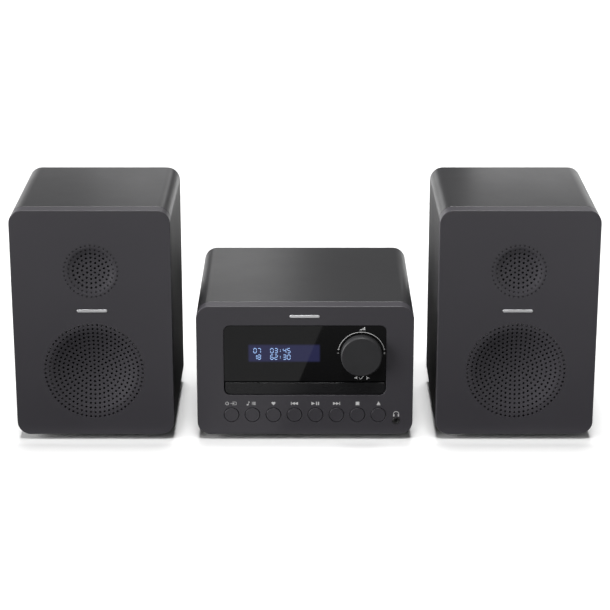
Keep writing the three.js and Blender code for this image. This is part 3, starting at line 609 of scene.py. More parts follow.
def mainFront():
    form = Form()
    wall, back, half = casing["mainWall"], mainUnit.frontDepth, mainUnit.width / 2
    edge, plate, lip = casing["frontEdge"], opening["plate"], opening["lip"]
    shape = roundRect(-half, half, 0, mainUnit.height, casing["corner"], steps=12)
    rear = casing["edge"]
    form.ring(shape, profile([(edge, 0), (0, 0, edge), (0, back, rear), (wall, back, rear), (wall, plate)]))
    corner, sill, seat = opening["corner"], opening["sill"], opening["seat"]
    whole = roundRect(-openingHalf, openingHalf, opening["bottom"], openingTop, corner)
    quarter = len(whole) // 4
    right, left = (openingHalf, sill, 1, 0), (-openingHalf, sill, -1, 0)
    upper = [right] + whole[quarter:3 * quarter] + [left]
    lower = [left] + whole[3 * quarter:] + whole[:quarter] + [right]
    (near, low, _), (far, high, _) = displayBox
    inset = opening["screenInset"]
    screen = roundRect(near + inset, far - inset, low + inset, high - inset, 0.5)
    stem = circle(knobSpot[0], knobSpot[1], opening["knobHole"])
    rounds = [circle(spot[0], buttonV, button["radius"] + button["gap"]) for spot in buttonSpots.values()]
    rounds.append(circle(*jackSpot, jack["collar"] + jack["gap"], 32))
    mouth = hole(upper + lower[1:-1])
    form.cap([moved(shape, edge), moved(mouth, lip)] + [moved(hole(loop), lip) for loop in rounds], 0)
    form.ring(mouth, profile([(lip, 0), (0, 0, lip), (0, seat)]))
    form.cap([upper, screen, stem], seat)
    form.ring(hole(lower), profile([(0, seat), (0, plate)]))
    for loop in (screen, stem):
        form.ring(hole(loop), profile([(0, seat), (0, plate)]))
    for loop in rounds:
        form.ring(hole(loop), profile([(lip, 0), (0, 0, lip), (0, plate)]))
    form.cap([moved(shape, wall), lower, screen, stem] + rounds, plate, 1)
    return form


placed("main_front", mainFront(), "front_moulding", ["main_fascia"])


# The window, with the display's soft-edged glow behind its tinted plastic.
screen = {"inset": 6.75, "up": 7.0, "soft": 1.2, "glow": (0.017, 0.018, 0.062)}


def windowFinish():
    shader = Shader("tintedWindow")
    low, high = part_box("display_module")
    x, z = shader.along("X"), shader.along("Z")
    edgeX, edgeZ, soft = screen["inset"] * mm, screen["up"] * mm, screen["soft"] * mm

    def rise(value, start):
        sockets = {"Value": value, "From Min": start - soft, "From Max": start + soft}
        return shader.node("ShaderNodeMapRange", {"interpolation_type": "SMOOTHSTEP"}, sockets)

    across = rise(x, low.x + edgeX) * (1 - rise(x, high.x - edgeX))
    lit = across * rise(z, low.z + edgeZ) * (1 - rise(z, high.z - edgeZ))
    cells = shader.noise(1400, 2)
    glow = shader.mixed(lit * (0.9 + 0.2 * cells), (0, 0, 0), screen["glow"])
    dust = shader.steps(shader.noise(800, 3, 0.7), [(0.7, 0), (0.82, 1)])
    base = shader.mixed(dust * 0.03, (0.002, 0.002, 0.0022), (0.1, 0.1, 0.1))
    sheen = shader.spread(shader.noise(30, 5, 0.7), 0.02, 0.05) + dust * 0.1
    return shader.done(
        Base_Color=base, Roughness=sheen, Specular_IOR_Level=0.2, Emission_Color=glow, Emission_Strength=1.0
    )


def windowPane():
    form = Form()
    (left, bottom, front), (right, top, back) = window
    ring = circle(knobSpot[0], knobSpot[1], knobRadius + knob["ringGap"], 64)
    shape = roundRect(left, right, bottom, top, opening["corner"] - opening["sideGap"], 0.4)
    form.slab(shape, front, back, 0.2, holes=[hole(ring)])
    return form


placed("window", windowPane(), "window", ["display_window"], finish=windowFinish())


# Digits on the display, as two rows of lit dots: each figure from the seven strokes of a clock digit.
digits = {
    "rows": ["07  03:45", "18  62:30"], "dotU": 0.6, "dotV": 0.68, "size": 0.54, "cell": 6, "line": 8.6,
    "left": 10.7, "top": 10.4, "light": (0.5, 0.78, 1.35),
    "proud": 0.04, "deep": 0.1,
}
# Whether a figure's top, middle, bottom, upper left, upper right, lower left and lower right are lit.
strokes = {
    "0": "1011111", "1": "0000101", "2": "1110110", "3": "1110101", "4": "0101101", "5": "1111001",
    "6": "1111011", "7": "1000101", "8": "1111111", "9": "1111101",
}


def litDots(sign):
    # The dots of one sign on a grid 5 wide and 7 high, counted from its upper left.
    if sign == ":":
        return [(2, 2), (2, 4)]
    if sign == " ":
        return []
    places = [[(c, r) for c in (1, 2, 3)] for r in (0, 3, 6)]
    places += [[(c, r) for r in rows] for rows in ((1, 2), (4, 5)) for c in (0, 4)]
    return [dot for lit, stroke in zip(strokes[sign], places) if lit == "1" for dot in stroke]


def displayDigits():
    form = Form()
    left, top = displayBox[0][0] + digits["left"], displayBox[1][1] - digits["top"]
    for row, text in enumerate(digits["rows"]):
        for place, sign in enumerate(text):
            for column, line in litDots(sign):
                u = left + (place * digits["cell"] + column) * digits["dotU"]
                v = top - (row * digits["line"] + line) * digits["dotV"]
                size = digits["size"]
                corners = [(u, v), (u + size, v), (u + size, v + size), (u, v + size)]
                form.prism(corners, windowFace - digits["proud"], windowFace + digits["deep"])
    return form


def lightFinish(name, colour):
    shader = Shader(name)
    glow = shader.mixed(shader.noise(900, 2), toned(colour, 0.8), toned(colour, 1.15))
    return shader.done(
        Base_Color=(0.01, 0.02, 0.04), Roughness=0.3, Emission_Color=glow, Emission_Strength=1.0
    )


placed("display_digits", displayDigits(), "screen", finish=lightFinish("litDots", digits["light"]))


# Printed marks stand a few hundredths of a millimetre proud of what they are printed on.
marks = {
    "proud": 0.03, "deep": 0.1, "line": 0.45, "iconV": 28.4, "icon": 1.5,
    "arc": 20.0, "arcLine": 0.5, "arcStart": 12.9, "arcEnd": 0.6,  # radius, width, first angle, dots
    "ramp": 21.8, "arrowsBelow": 21.3, "arrow": 1.35,  # above and below the knob's middle
}


class Print(Form):
    def __init__(self, face):
        super().__init__()
        self.face0, self.face1 = face - marks["proud"], face + marks["deep"]

    def shape(self, points):
        self.prism(points, self.face0, self.face1)

    def line(self, u0, v0, u1, v1, width=marks["line"]):
        length = math.hypot(u1 - u0, v1 - v0)
        a, b = (v1 - v0) / length * width / 2, -(u1 - u0) / length * width / 2
        self.shape([(u0 + a, v0 + b), (u1 + a, v1 + b), (u1 - a, v1 - b), (u0 - a, v0 - b)])

    def arc(self, u, v, radius, start, end, width=marks["line"], steps=40):
        turns = [math.radians(start + (end - start) * k / steps) for k in range(steps + 1)]
        reaches = (radius + width / 2, radius - width / 2)
        outer, inner = ([(u + far * math.cos(t), v + far * math.sin(t)) for t in turns] for far in reaches)
        self.shape(outer + inner[::-1])

    def disc(self, u, v, radius, steps=16, squash=1.0):
        self.shape([(u + radius * a, v + radius * squash * b) for _, _, a, b in circle(0, 0, 1, steps)])

    def triangle(self, u, v, size, way):
        # An arrow head that reaches its size each way, pointing left, right or up.
        heads = {
            "right": [(-size, -size), (size, 0), (-size, size)],
            "left": [(size, size), (-size, 0), (size, -size)],
            "up": [(-size, -size * 0.8), (size, -size * 0.8), (0, size)],
        }
        self.shape([(u + a, v + b) for a, b in heads[way]])

    def bar(self, u, v, halfWidth, halfHeight):
        left, right, low, high = u - halfWidth, u + halfWidth, v - halfHeight, v + halfHeight
        self.shape([(left, low), (right, low), (right, high), (left, high)])


def windowMarks():
    form = Print(windowFace)
    u, v = knobSpot[:2]
    radius, width = marks["arc"], marks["arcLine"]
    start = marks["arcStart"]
    form.arc(u, v, radius, start, 180 - start, width, 64)
    for turn in (math.radians(start), math.radians(180 - start)):
        form.disc(u + radius * math.cos(turn), v + radius * math.sin(turn), marks["arcEnd"])
    form.bar(u - radius + 0.2, v + 1.2, 0.9, 0.18)  # a minus, and then a plus from two bars
    form.bar(u + radius - 0.5, v + 1.1, 0.8, 0.18)
    form.bar(u + radius - 0.5, v + 1.1, 0.18, 0.8)
    low = marks["ramp"]
    wedge = [(-2.2, low), (0.4, low), (0.4, 23.0)]
    first = [(0.8, low), (1.7, low), (1.7, 23.8), (0.8, 23.4)]
    second = [(2.1, low), (3.0, low), (3.0, 24.7), (2.1, 24.4)]
    for points in (wedge, first, second):
        form.shape([(u + a, v + b) for a, b in points])
    low = v - marks["arrowsBelow"]
    form.triangle(u - 4.7, low, marks["arrow"], "left")
    form.triangle(u + 5.9, low, marks["arrow"], "right")
    form.line(u - 1.9, low + 0.4, u - 0.6, low - 1.3, 0.45)
    form.line(u - 0.75, low - 1.35, u + 2.1, low + 1.5, 0.45)
    return form


def frontMarks():
    form = Print(0)
    v, size = marks["iconV"], marks["icon"]
    spot = {name: middle[0] for name, middle in buttonSpots.items()}
    u = spot["power"] - 3.7  # a ring with its stroke, and beside it an arrow into a frame
    form.arc(u, v, 1.3, 125, 415)
    form.line(u, v + 0.3, u, v + 1.9)
    u = spot["power"] + 2.1
    for a, b, c, d in ((-1.4, 1.3, 2.0, 1.3), (2.0, 1.3, 2.0, -1.3), (2.0, -1.3, -1.4, -1.3)):
        form.line(u + a, v + b, u + c, v + d, 0.35)
    form.line(u - 3.0, v, u - 0.6, v, 0.35)
    form.triangle(u - 0.2, v, 0.75, "right")
    u = spot["info"] - 3.7  # a note, and beside it a list
    form.disc(u - 0.5, v - 1.2, 0.85, squash=0.75)
    form.line(u + 0.2, v - 1.1, u + 0.5, v + 1.8, 0.4)
    form.line(u + 0.45, v + 1.7, u + 1.3, v + 0.9, 0.5)
    u = spot["info"] + 1.1
    for row in (-1, 0, 1):
        form.bar(u - 1.25, v + row * 1.05, 0.3, 0.3)
        form.bar(u + 0.55, v + row * 1.05, 1.05, 0.28)
    u = spot["favourite"]  # a heart: the right half's points, mirrored for the left
    lobe = [math.radians(10 + 205 * k / 14) for k in range(15)]
    right = [(0.8 + 0.92 * math.cos(math.pi - t), 0.55 + 0.92 * math.sin(math.pi - t)) for t in lobe]
    right = [(a, b) for a, b in right if a >= 0]
    form.shape([(u, v - 1.7)] + [(u + a, v + b) for a, b in right[::-1]] + [(u - a, v + b) for a, b in right])
    u, head = spot["previous"], size * 0.95
    form.bar(u - 2.75, v, 0.3, size)
    form.triangle(u - 1.0, v, head, "left")
    form.triangle(u + 1.6, v, head, "left")
    u = spot["play"]
    form.triangle(u - 2.0, v, size, "right")
    for side in (0.9, 2.6):
        form.bar(u + side, v, 0.5, size)
    u = spot["next"]
    form.triangle(u - 1.6, v, head, "right")
    form.triangle(u + 1.0, v, head, "right")
    form.bar(u + 2.75, v, 0.3, size)
    form.bar(spot["stop"], v, 1.6, 1.6)
    u = spot["eject"]
    form.triangle(u, v + 0.35, size * 1.05, "up")
    form.bar(u, v - 1.35, 1.6, 0.28)
    u, v = jackSpot[0], jackSpot[1] + 6.1  # headphones, above their socket
    form.arc(u, v, 2.25, -10, 190, 0.5)
    for side in (-1, 1):
        form.bar(u + side * 2.0, v - 1.2, 0.6, 1.1)
    return form


placed("window_marks", windowMarks(), "white_plastic", finish=printedInk)
placed("front_marks", frontMarks(), "white_plastic", finish=printedInk)


# A plain silver bar on each front.
badge = {
    "halfWidth": 12.75, "halfHeight": 1.2, "proud": 0.35, "deep": 0.3,
    "mainU": -0.25, "mainV": 107.2, "speakerV": 112.0,
}
silver = drawnMetal("silverBar", (0.6, 0.6, 0.61), 0.42, (12, 1, 1))


def silverBar(origin, u, v):
    form = Form(origin)
    half, high = badge["halfWidth"], badge["halfHeight"]
    form.slab(roundRect(u - half, u + half, v - high, v + high, high), -badge["proud"], badge["deep"], 0.2)
    return form


placed("main_bar", silverBar(mainUnit.origin, badge["mainU"], badge["mainV"]), "steel", finish=silver)
pair("bar", silverBar(speakerOrigin, 0, badge["speakerV"]), "steel", finish=silver)
say("front, window and marks are on")


# Controls: the knob, eight buttons and the headphone socket.

def volumeKnob():
    form = Form()
    front, back = knobBox[0][2], knobBox[1][2]
    skirt = opening["seat"] - knob["skirt"]
    form.turn(knobSpot[0], knobSpot[1], [
        (0, front + knob["dish"]), (knobRadius - 3, front + knob["dish"] * 0.4, 20),
        (knobRadius - knob["chamfer"], front, knob["edge"]),
        (knobRadius, front + knob["chamfer"], knob["edge"]),
        (knobRadius, skirt, 0.3), (knob["stem"], skirt, 0.3), (knob["stem"], back, 0.3), (0, back),
    ], 96)
    return form


knobCentre = mainUnit.origin + Vector((knobSpot[0], 0, knobSpot[1])) * mm
knobFinish = turnedFace("knobFace", (0.02, 0.02, 0.021), 0.45, knobCentre, 0.35)
placed("volume_knob_cap", volumeKnob(), "knob_plastic", ["volume_knob"], "knob", knobFinish)


def pushButton(name):
    form = Form()
    (_, _, front), (_, _, back) = mainUnit.span(f"{name}_button")
    u = buttonSpots[name][0]
    radius, tab, reach, stem = button["radius"], button["tab"], button["tabReach"], button["stem"]
    tabBack = back - 1
    form.turn(u, buttonV, [
        (0, front + button["dish"]), (radius - 1.5, front + button["dish"] * 0.5, 6),
        (radius, front, button["edge"]), (radius, tabBack, 0.2), (0, tabBack),
    ])
    form.box(u - tab, u + tab, buttonV - reach, buttonV + reach, tabBack - 1.2, tabBack)
    form.turn(u, buttonV, [(0, tabBack - 0.5), (stem, tabBack - 0.5), (stem, back, 0.4), (0, back)], 24)
    return form


for name in buttonNames:
    placed(f"{name}_cap", pushButton(name), "button_plastic", [f"{name}_button"], f"{name}_button")


def headphoneSocket():
    form = Form()
    u, v = jackSpot
    (left, bottom, front), (right, top, back) = jackBox
    collarEnd = opening["plate"] + 1.3
    form.turn(u, v, [
        (jack["bore"], front, 0.25), (jack["collar"], front, 0.35),
        (jack["collar"], collarEnd), (jack["bore"], collarEnd),
    ], 32, True)
    shape = roundRect(left, right, bottom, top, 0.6)
    bore = hole(circle(u, v, jack["bore"], 32))
    form.slab(shape, opening["plate"] + 0.3, jack["boreEnd"], 0.3, holes=[bore])
    form.slab(shape, jack["boreEnd"], back, 0.3)
    return form


placed("headphone_socket", headphoneSocket(), "terminal_black", ["headphone_jack"])


# A thin sleeve of contacts just inside a socket's bore.
def addContacts(form, u, v, bore, front, back, edge=0):
    inner, outer = bore - jack["contact"], bore - 0.02
    form.turn(u, v, [(inner, front, edge), (outer, front, edge), (outer, back), (inner, back)], 32, True)


contacts = Form()
addContacts(contacts, *jackSpot, jack["bore"], 2.5, 12, 0.1)
placed("headphone_contacts", contacts, "steel")


# The tray door.
def trayDoor():
    form = Form()
    (left, bottom, front), (right, top, back) = mainUnit.span("tray_door")
    form.slab(roundRect(left, right, bottom, top, 0.4, opening["corner"] - 0.9), front, back, 0.3)
    return form


doorFinish = polished("doorPlastic", (0.006, 0.006, 0.0065), 0.25, 0.2)
placed("door", trayDoor(), "window", ["tray_door"], "tray", doorFinish)
say("controls are on")


# Screws with a cross recess, seen on the backs.
screw = {"radius": 3.0, "high": 1.7, "dome": 0.9, "cross": 1.9, "slot": 0.42, "recess": 1.1}


def crossOutline(u, v, reach, half):
    corner = [(half, half), (half, reach), (-half, reach)]
    turns = [(1, 0), (0, 1), (-1, 0), (0, -1)]
    return [(u + a * c - b * s, v + a * s + b * c) for c, s in turns for a, b in corner]


def addScrew(form, u, v, face):
    radius, top, dome = screw["radius"], face + screw["high"], screw["dome"]
    rim, floor = radius - dome, top - screw["recess"]
    form.ring(circle(u, v, radius, 28), profile([(0, face), (0, top, dome), (radius - rim, top)]))
    cross = crossOutline(u, v, screw["cross"], screw["slot"])
    form.cap([circle(u, v, rim, 28), [(a, b, 0, 0) for a, b in cross]], top, 1)
    form.walls(cross, floor, top, -1)
    form.cap([[(a, b, 0, 0) for a, b in cross]], floor, 1)
    form.cap([circle(u, v, radius, 28)], face)


# Back plates.
backPanel = {
    "edge": 0.4, "corner": 8.2, "screwInset": 11.0, "gap": 0.3, "rim": 3.0,
    # Screws besides those in the corners.
    "mainScrews": [(0, 98), (0, 12)], "speakerScrews": [(-56.5, 97), (56.5, 97)],
}
vents = {"count": 9, "pitch": 5.0, "width": 2.2, "height": 20.0, "u": 10.0, "v": 26.0, "corner": 1.05}
inlet = {"radius": 5.5, "bore": 3.1, "flange": 7.0, "pin": 1.0, "flangeDeep": 1.5, "boreDeep": 8.0}
aerial = {
    "radius": 4.7, "bore": 1.2, "nut": 6.5, "nutDeep": 2.5, "threads": 9, "pitch": 0.75, "threadDeep": 0.4,
    "inside": 3.4, "insideDeep": 2.5,
}
terminal = {
    "pitch": 12.0, "lever": 4.0, "slotTop": 6.8, "slotBottom": 7.4, "flange": 2.0,
    "clamp": 6.5, "wire": 1.4, "wireUp": 2.6, "wireDeep": 5.0,
}


def cutOut(unit, node):
    # The rectangle that a terminal block fills in its back plate.
    (left, bottom, _), (right, top, _) = unit.span(node)
    inset = backPanel["rim"] - backPanel["gap"]
    return roundRect(left + inset, right - inset, bottom + inset, top - inset, 0.6, steps=3)


def backPlate(unit, origin, cuts):
    form = Form(origin)
    (left, bottom, front), (right, top, back) = unit.plate
    shape = roundRect(left, right, bottom, top, backPanel["corner"], steps=10)
    form.slab(shape, front, back, backPanel["edge"], holes=[hole(loop) for loop in cuts])
    return form


def screwSpots(unit, extra):
    (left, bottom, _), (right, top, _) = unit.plate
    inset = backPanel["screwInset"]
    corners = [(u, v) for u in (left + inset, right - inset) for v in (bottom + inset, top - inset)]
    return corners + extra


def mainBackCuts():
    cuts = [cutOut(mainUnit, "main_terminals")]
    for node, radius in (("power_inlet", inlet["radius"]), ("aerial_socket", aerial["radius"])):
        u, v, _ = mainUnit.middle(node)
        cuts.append(circle(u, v, radius + backPanel["gap"], 40))
    low, high = vents["v"], vents["v"] + vents["height"]
    for k in range(vents["count"]):
        u = vents["u"] + k * vents["pitch"]
        cuts.append(roundRect(u, u + vents["width"], low, high, vents["corner"], steps=5))
    return cuts


mainBack = backPlate(mainUnit, mainUnit.origin, mainBackCuts())
placed("main_back", mainBack, "inner_plastic", ["main_back_plate"])
mainScrews = Form()
for u, v in screwSpots(mainUnit, backPanel["mainScrews"]):
    addScrew(mainScrews, u, v, mainUnit.plate[1][2])
placed("main_back_screws", mainScrews, "steel")

portU, portV, _ = leftSpeaker.middle("left_port_tube")
(_, _, portFront), (portRight, _, portBack) = leftSpeaker.span("left_port_tube")
port = {"bore": 14.0, "wall": 2.5, "flare": 5.0, "edge": 0.8}
portHole = circle(0, portV, port["bore"] + port["wall"] + backPanel["gap"], 48)
speakerCut = [(u - portU, v, a, b) for u, v, a, b in cutOut(leftSpeaker, "left_terminals")]
speakerBack = backPlate(leftSpeaker, speakerOrigin, [portHole, speakerCut])
pair("back", speakerBack, "inner_plastic", ["*_back_plate"])
speakerScrews = Form(speakerOrigin)
for u, v in screwSpots(leftSpeaker, backPanel["speakerScrews"]):
    addScrew(speakerScrews, u, v, leftSpeaker.plate[1][2])
pair("back_screws", speakerScrews, "steel")


def portTube():
    form = Form(speakerOrigin)
    bore, outside, flange = port["bore"], port["bore"] + port["wall"], portRight - portU
    face = portBack - terminal["flange"]
    form.turn(0, portV, [
        (bore, portFront, 1.0), (outside, portFront, 1.0), (outside, face), (flange, face, 0.2),
        (flange, portBack, port["edge"]), (bore, portBack, port["flare"]),
    ], 72, True)
    return form


pair("port", portTube(), "inner_plastic", ["*_port_tube"])


# Spring terminals: a flanged block with a slot for each lever and a wire hole in each clamp.
def terminalBlock(unit, node, origin, across, count):
    form = Form(origin)
    (left, bottom, front), (right, top, back) = unit.span(node)
    left, right = left - across, right - across
    middle, v = (left + right) / 2, (bottom + top) / 2
    flange, lever, rim = terminal["flange"], terminal["lever"], backPanel["rim"]
    low, high = v - terminal["slotBottom"], v + terminal["slotTop"]
    slots = []
    for k in range(count):
        u = middle + (k - (count - 1) / 2) * terminal["pitch"]
        slots.append((u, roundRect(u - lever, u + lever, low, high, 0.5, steps=3)))
    shape = roundRect(left, right, bottom, top, rim / 2)
    edge, lip = 0.5, 0.2
    clamp = back - terminal["clamp"]
    end = clamp - terminal["wireDeep"]
    form.ring(shape, profile([(rim, back - flange), (0, back - flange, 0.2), (0, back, edge), (edge, back)]))
    form.cap([moved(shape, edge)] + [moved(hole(loop), lip) for _, loop in slots], back, 1)
    body = roundRect(left + rim, right - rim, bottom + rim, top - rim, 0.6)
    form.ring(body, profile([(edge, front), (0, front, edge), (0, back - flange)]))
    form.cap([moved(body, edge)], front)
    for u, loop in slots:
        wire = circle(u, low + terminal["wireUp"], terminal["wire"], 24)
        form.ring(hole(loop), profile([(0, clamp), (0, back, lip), (lip, back)]))
        form.cap([loop, wire], clamp, 1)
        form.ring(hole(wire), profile([(0, end), (0, clamp)]))
        form.cap([wire], end, 1)
    return form


mainBlock = terminalBlock(mainUnit, "main_terminals", mainUnit.origin, 0, 4)
placed("main_terminal_block", mainBlock, "terminal_black", ["main_terminals"])
speakerBlock = terminalBlock(leftSpeaker, "left_terminals", speakerOrigin, portU, 2)
pair("terminal_block", speakerBlock, "terminal_black", ["*_terminals"])


# A copy of a CAD node with its edges rounded, for pieces whose shape is already right.
def rounded(name, node, slot, body, width=0.35, segments=3):
    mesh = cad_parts[node].data.copy()
    mesh.materials.clear()
    mesh.materials.append(finishes[slot])
    piece = settled(name, mesh, body, [node])
    weld = piece.modifiers.new("weld", "WELD")
    weld.merge_threshold = 0.001 * mm
    bevel = piece.modifiers.new("edges", "BEVEL")
    bevel.width, bevel.segments, bevel.limit_method = width * mm, segments, "ANGLE"
    bevel.angle_limit, bevel.harden_normals = math.radians(30), True
    return piece


for levers in ("main_lever_left", "main_lever_right", "left_lever", "right_lever"):
    for sign, slot in (("plus", "terminal_red"), ("minus", "terminal_black")):
        lever = f"{levers}_{sign}"
        rounded(f"{lever}_tab", lever, slot, lever)


# Power inlet and aerial socket.
def socketPlace(node):
    # A socket's middle, its front and back ends, and the plane just behind the back plate.
    (_, _, front), (_, _, back) = mainUnit.span(node)
    u, v, _ = mainUnit.middle(node)
    return u, v, front, back, mainUnit.plate[1][2] + backPanel["gap"]


def powerInlet():
    form = Form()
    u, v, front, back, face = socketPlace("power_inlet")
    end = back - inlet["boreDeep"]
    form.turn(u, v, [
        (0, front), (inlet["radius"], front, 0.4), (inlet["radius"], face), (inlet["flange"], face, 0.2),
        (inlet["flange"], face + inlet["flangeDeep"], 0.5), (inlet["radius"], face + inlet["flangeDeep"]),
        (inlet["radius"], back, 0.5), (inlet["bore"], back, 0.4), (inlet["bore"], end), (0, end),
    ], 48)
    return form


def inletPin():
    form = Form()
    u, v, _, back, _ = socketPlace("power_inlet")
    pin, root = inlet["pin"], back - inlet["boreDeep"] - 0.2
    form.turn(u, v, [(0, root), (pin, root), (pin, back - 1, 0.9), (0, back - 1)], 24)
    addContacts(form, u, v, inlet["bore"], back - 7.5, back - 0.6)
    return form


placed("power_socket", powerInlet(), "terminal_black", ["power_inlet"])
placed("power_socket_pin", inletPin(), "steel")


def aerialBarrel():
    form = Form()
    u, v, front, back, face = socketPlace("aerial_socket")
    crest, pitch, inside = aerial["radius"], aerial["pitch"], aerial["inside"]
    root = crest - aerial["threadDeep"]
    start, end = back - 1 - aerial["threads"] * pitch, back - aerial["insideDeep"]
    corners = [(0, front), (root, front, 0.3), (root, face), (root, start)]
    for k in range(aerial["threads"]):
        corners += [(crest, start + (k + 0.35) * pitch, 0.12), (root, start + (k + 0.85) * pitch, 0.12)]
    corners += [(root, back, 0.4), (inside, back, 0.3), (inside, end), (0, end)]
    form.turn(u, v, corners, 48)
    turns = [math.radians(60 * k) for k in range(6)]
    nut = [(u + aerial["nut"] * math.cos(t), v + aerial["nut"] * math.sin(t)) for t in turns]
    form.prism(nut, face, face + aerial["nutDeep"])
    return form


def aerialCore():
    form = Form()
    u, v, _, back, _ = socketPlace("aerial_socket")
    bore, outside = aerial["bore"], aerial["inside"] - 0.05
    form.turn(u, v, [
        (bore, back - 8), (outside, back - 8), (outside, back - 0.8, 0.3), (bore, back - 0.8, 0.5),
    ], 40, True)
    return form


placed("aerial_barrel", aerialBarrel(), "steel", ["aerial_socket"])
placed("aerial_core", aerialCore(), "white_plastic")
say("backs are on")


# Feet: ribbed rubber strips.
foot = {"corner": 2.5, "edge": 0.8, "ribs": 3, "rib": 0.35, "ribInset": 2.5}


def footStrip(unit, node, origin, across):
    form = Form(origin, "down")
    (left, bottom, front), (right, top, back) = unit.span(node)
    left, right = left - across, right - across
    shape = roundRect(left, right, front, back, foot["corner"])
    form.slab(shape, -top, -bottom - foot["rib"], 0.2, foot["edge"])
    step = (back - front) / (2 * foot["ribs"] + 1)
    near, far = left + foot["ribInset"], right - foot["ribInset"]
    for k in range(foot["ribs"]):
        start = front + step * (2 * k + 1)
        rib = roundRect(near, far, start, start + step, step / 2 - 0.05, steps=4)
        form.slab(rib, -bottom - foot["rib"] - 0.3, -bottom, 0.15)
    return form


for place in ("front", "rear"):
    strip = footStrip(mainUnit, f"main_{place}_foot", mainUnit.origin, 0)
    placed(f"main_{place}_strip", strip, "rubber", [f"main_{place}_foot"])
    strip = footStrip(leftSpeaker, f"left_{place}_foot", speakerOrigin, portU)
    pair(f"{place}_strip", strip, "rubber", [f"*_{place}_foot"])
say("feet are on")


# The disc tray: a stepped recess for both sizes of disc, an opening for the hub and the pickup, and the rack.
disc = {
    "recess": 60.8, "small": 40.5, "deep": 1.6, "step": 0.8, "hub": 17.0, "slotEnd": 46.0,
    "edge": 0.4, "rim": 0.3, "underTray": 5.2,
}
rack = {
    "pitch": 1.5 * math.pi, "slope": math.tan(math.radians(20)), "backlash": 0.1,
    "tip": 1.0, "root": 1.3, "web": 3.0, "inset": 1.0,
}


def arcPoints(radius, centre, start, end, steps):
    turns = [math.radians(start + (end - start) * k / steps) for k in range(steps + 1)]
    return [(radius * math.cos(t), centre + radius * math.sin(t), math.cos(t), math.sin(t)) for t in turns]


def discTray():
    form = Form(mainUnit.origin, "down")
    (left, rackBottom, front), (right, high, back) = mainUnit.span("disc_tray")
    low = mainUnit.span("loader_frame")[1][1] - disc["underTray"]
    top, bottom, edge, lip = -high, -low, disc["edge"], disc["rim"]
    centre = mainUnit.middle("disc_turntable")[2]
    shape = roundRect(left, right, front, back, 4, 1.5)
    form.ring(shape, profile([(edge, top), (0, top, edge), (0, bottom, edge), (edge, bottom)]))
    rim = circle(0, centre, disc["recess"], 120)
    form.cap([moved(shape, edge), moved(hole(rim), lip)], top)
    floor1, floor2 = top + disc["deep"], top + disc["deep"] + disc["step"]
    form.ring(hole(rim), profile([(lip, top), (0, top, lip), (0, floor1)]))
    hub, slotEnd = disc["hub"], centre + disc["slotEnd"]
    reach = math.sqrt(disc["small"] ** 2 - hub ** 2)
    turn = math.degrees(math.atan2(reach, hub))
    outer = arcPoints(disc["small"], centre, turn, turn - (2 * turn + 180), 96)
    ends = [(-hub, slotEnd, 0, 0), (hub, slotEnd, 0, 0)]
    form.cap([rim, outer + ends], floor1)
    inner = arcPoints(hub, centre, 180, 360, 48)
    form.cap([outer + inner], floor2)
    form.ring(hole(outer), profile([(0, floor1), (0, floor2)]), False)
    form.ring(hole(inner), profile([(0, floor2), (0, bottom)]), False)
    for side in (-1, 1):
        form.wall((side * hub, centre), (side * hub, centre + reach), floor2, bottom, (-side, 0))
        form.wall((side * hub, centre + reach), (side * hub, slotEnd), floor1, bottom, (-side, 0))
    form.wall((-hub, slotEnd), (hub, slotEnd), floor1, bottom, (0, -1))
    keyhole = inner + ends[::-1]
    form.cap([moved(shape, edge), keyhole], bottom, 1)
    addRack(form, left, front, back, bottom, -rackBottom)
    return form


def addRack(form, left, front, back, top, bottom):
    # Straight teeth on the tray's left side, which face the middle of the unit.
    gearLow, gearHigh = mainUnit.span("tray_gear")
    gearMiddle = (gearLow[2] + gearHigh[2]) / 2
    base, root = left + rack["inset"], left + rack["inset"] + rack["web"]
    line = root + rack["root"]
    pitch = rack["pitch"]
    half = pitch / 4 - rack["backlash"]
    tip, flank = half - rack["tip"] * rack["slope"], half + rack["root"] * rack["slope"]
    crest = line + rack["tip"]
    behind = math.floor((gearMiddle - front) / pitch - 1)
    ahead = math.floor((back - gearMiddle) / pitch - 1)
    points = [(base, gearMiddle + (ahead + 0.5) * pitch), (base, gearMiddle - (behind + 0.5) * pitch)]
    for k in range(-behind, ahead):
        middle = gearMiddle + (k + 0.5) * pitch
        points += [(root, middle - flank), (crest, middle - tip)]
        points += [(crest, middle + tip), (root, middle + flank)]
    points.append((root, gearMiddle + (ahead + 0.5) * pitch))
    form.prism(points, top, bottom)


placed("tray_drawer", discTray(), "inner_plastic", ["disc_tray"], "tray")


# The turntable: a platter with a rubber ring and a hub with three sprung catches.
platter = {
    "radius": 14.5, "thick": 2.0, "hub": 7.3, "below": 3.8, "catches": 3, "catch": 1.1,
    "ringInside": 9.5, "ringOutside": 13.6,
}


def turntableBody():
    form = Form(mainUnit.origin, "down")
    (_, low, _), (_, high, _) = mainUnit.span("disc_turntable")
    middle = mainUnit.middle("disc_turntable")[2]
    top, face = -high, -high + platter["below"]
    bottom, radius, hub, catch = face + platter["thick"], platter["radius"], platter["hub"], platter["catch"]
    form.turn(0, middle, [
        (0, top + 0.6), (2.2, top + 0.6, 0.4), (3.4, top, 0.3), (hub - 1.4, top, 0.5), (hub, top + 1.6, 0.5),
        (hub, face, 0.2), (radius, face, 0.4), (radius, bottom, 0.4), (0, bottom),
    ], 72)
    form.turn(0, middle, [(0, bottom - 0.5), (1.2, bottom - 0.5), (1.2, -low, 0.3), (0, -low)], 24)
    for k in range(platter["catches"]):
        turn = math.radians(90 + 360 / platter["catches"] * k)
        u, v = (hub - 0.9) * math.cos(turn), middle + (hub - 0.9) * math.sin(turn)
        form.turn(u, v, [(0, top + 0.5), (catch, top + 1.1, 0.8), (catch, face), (0, face)], 20)
    return form


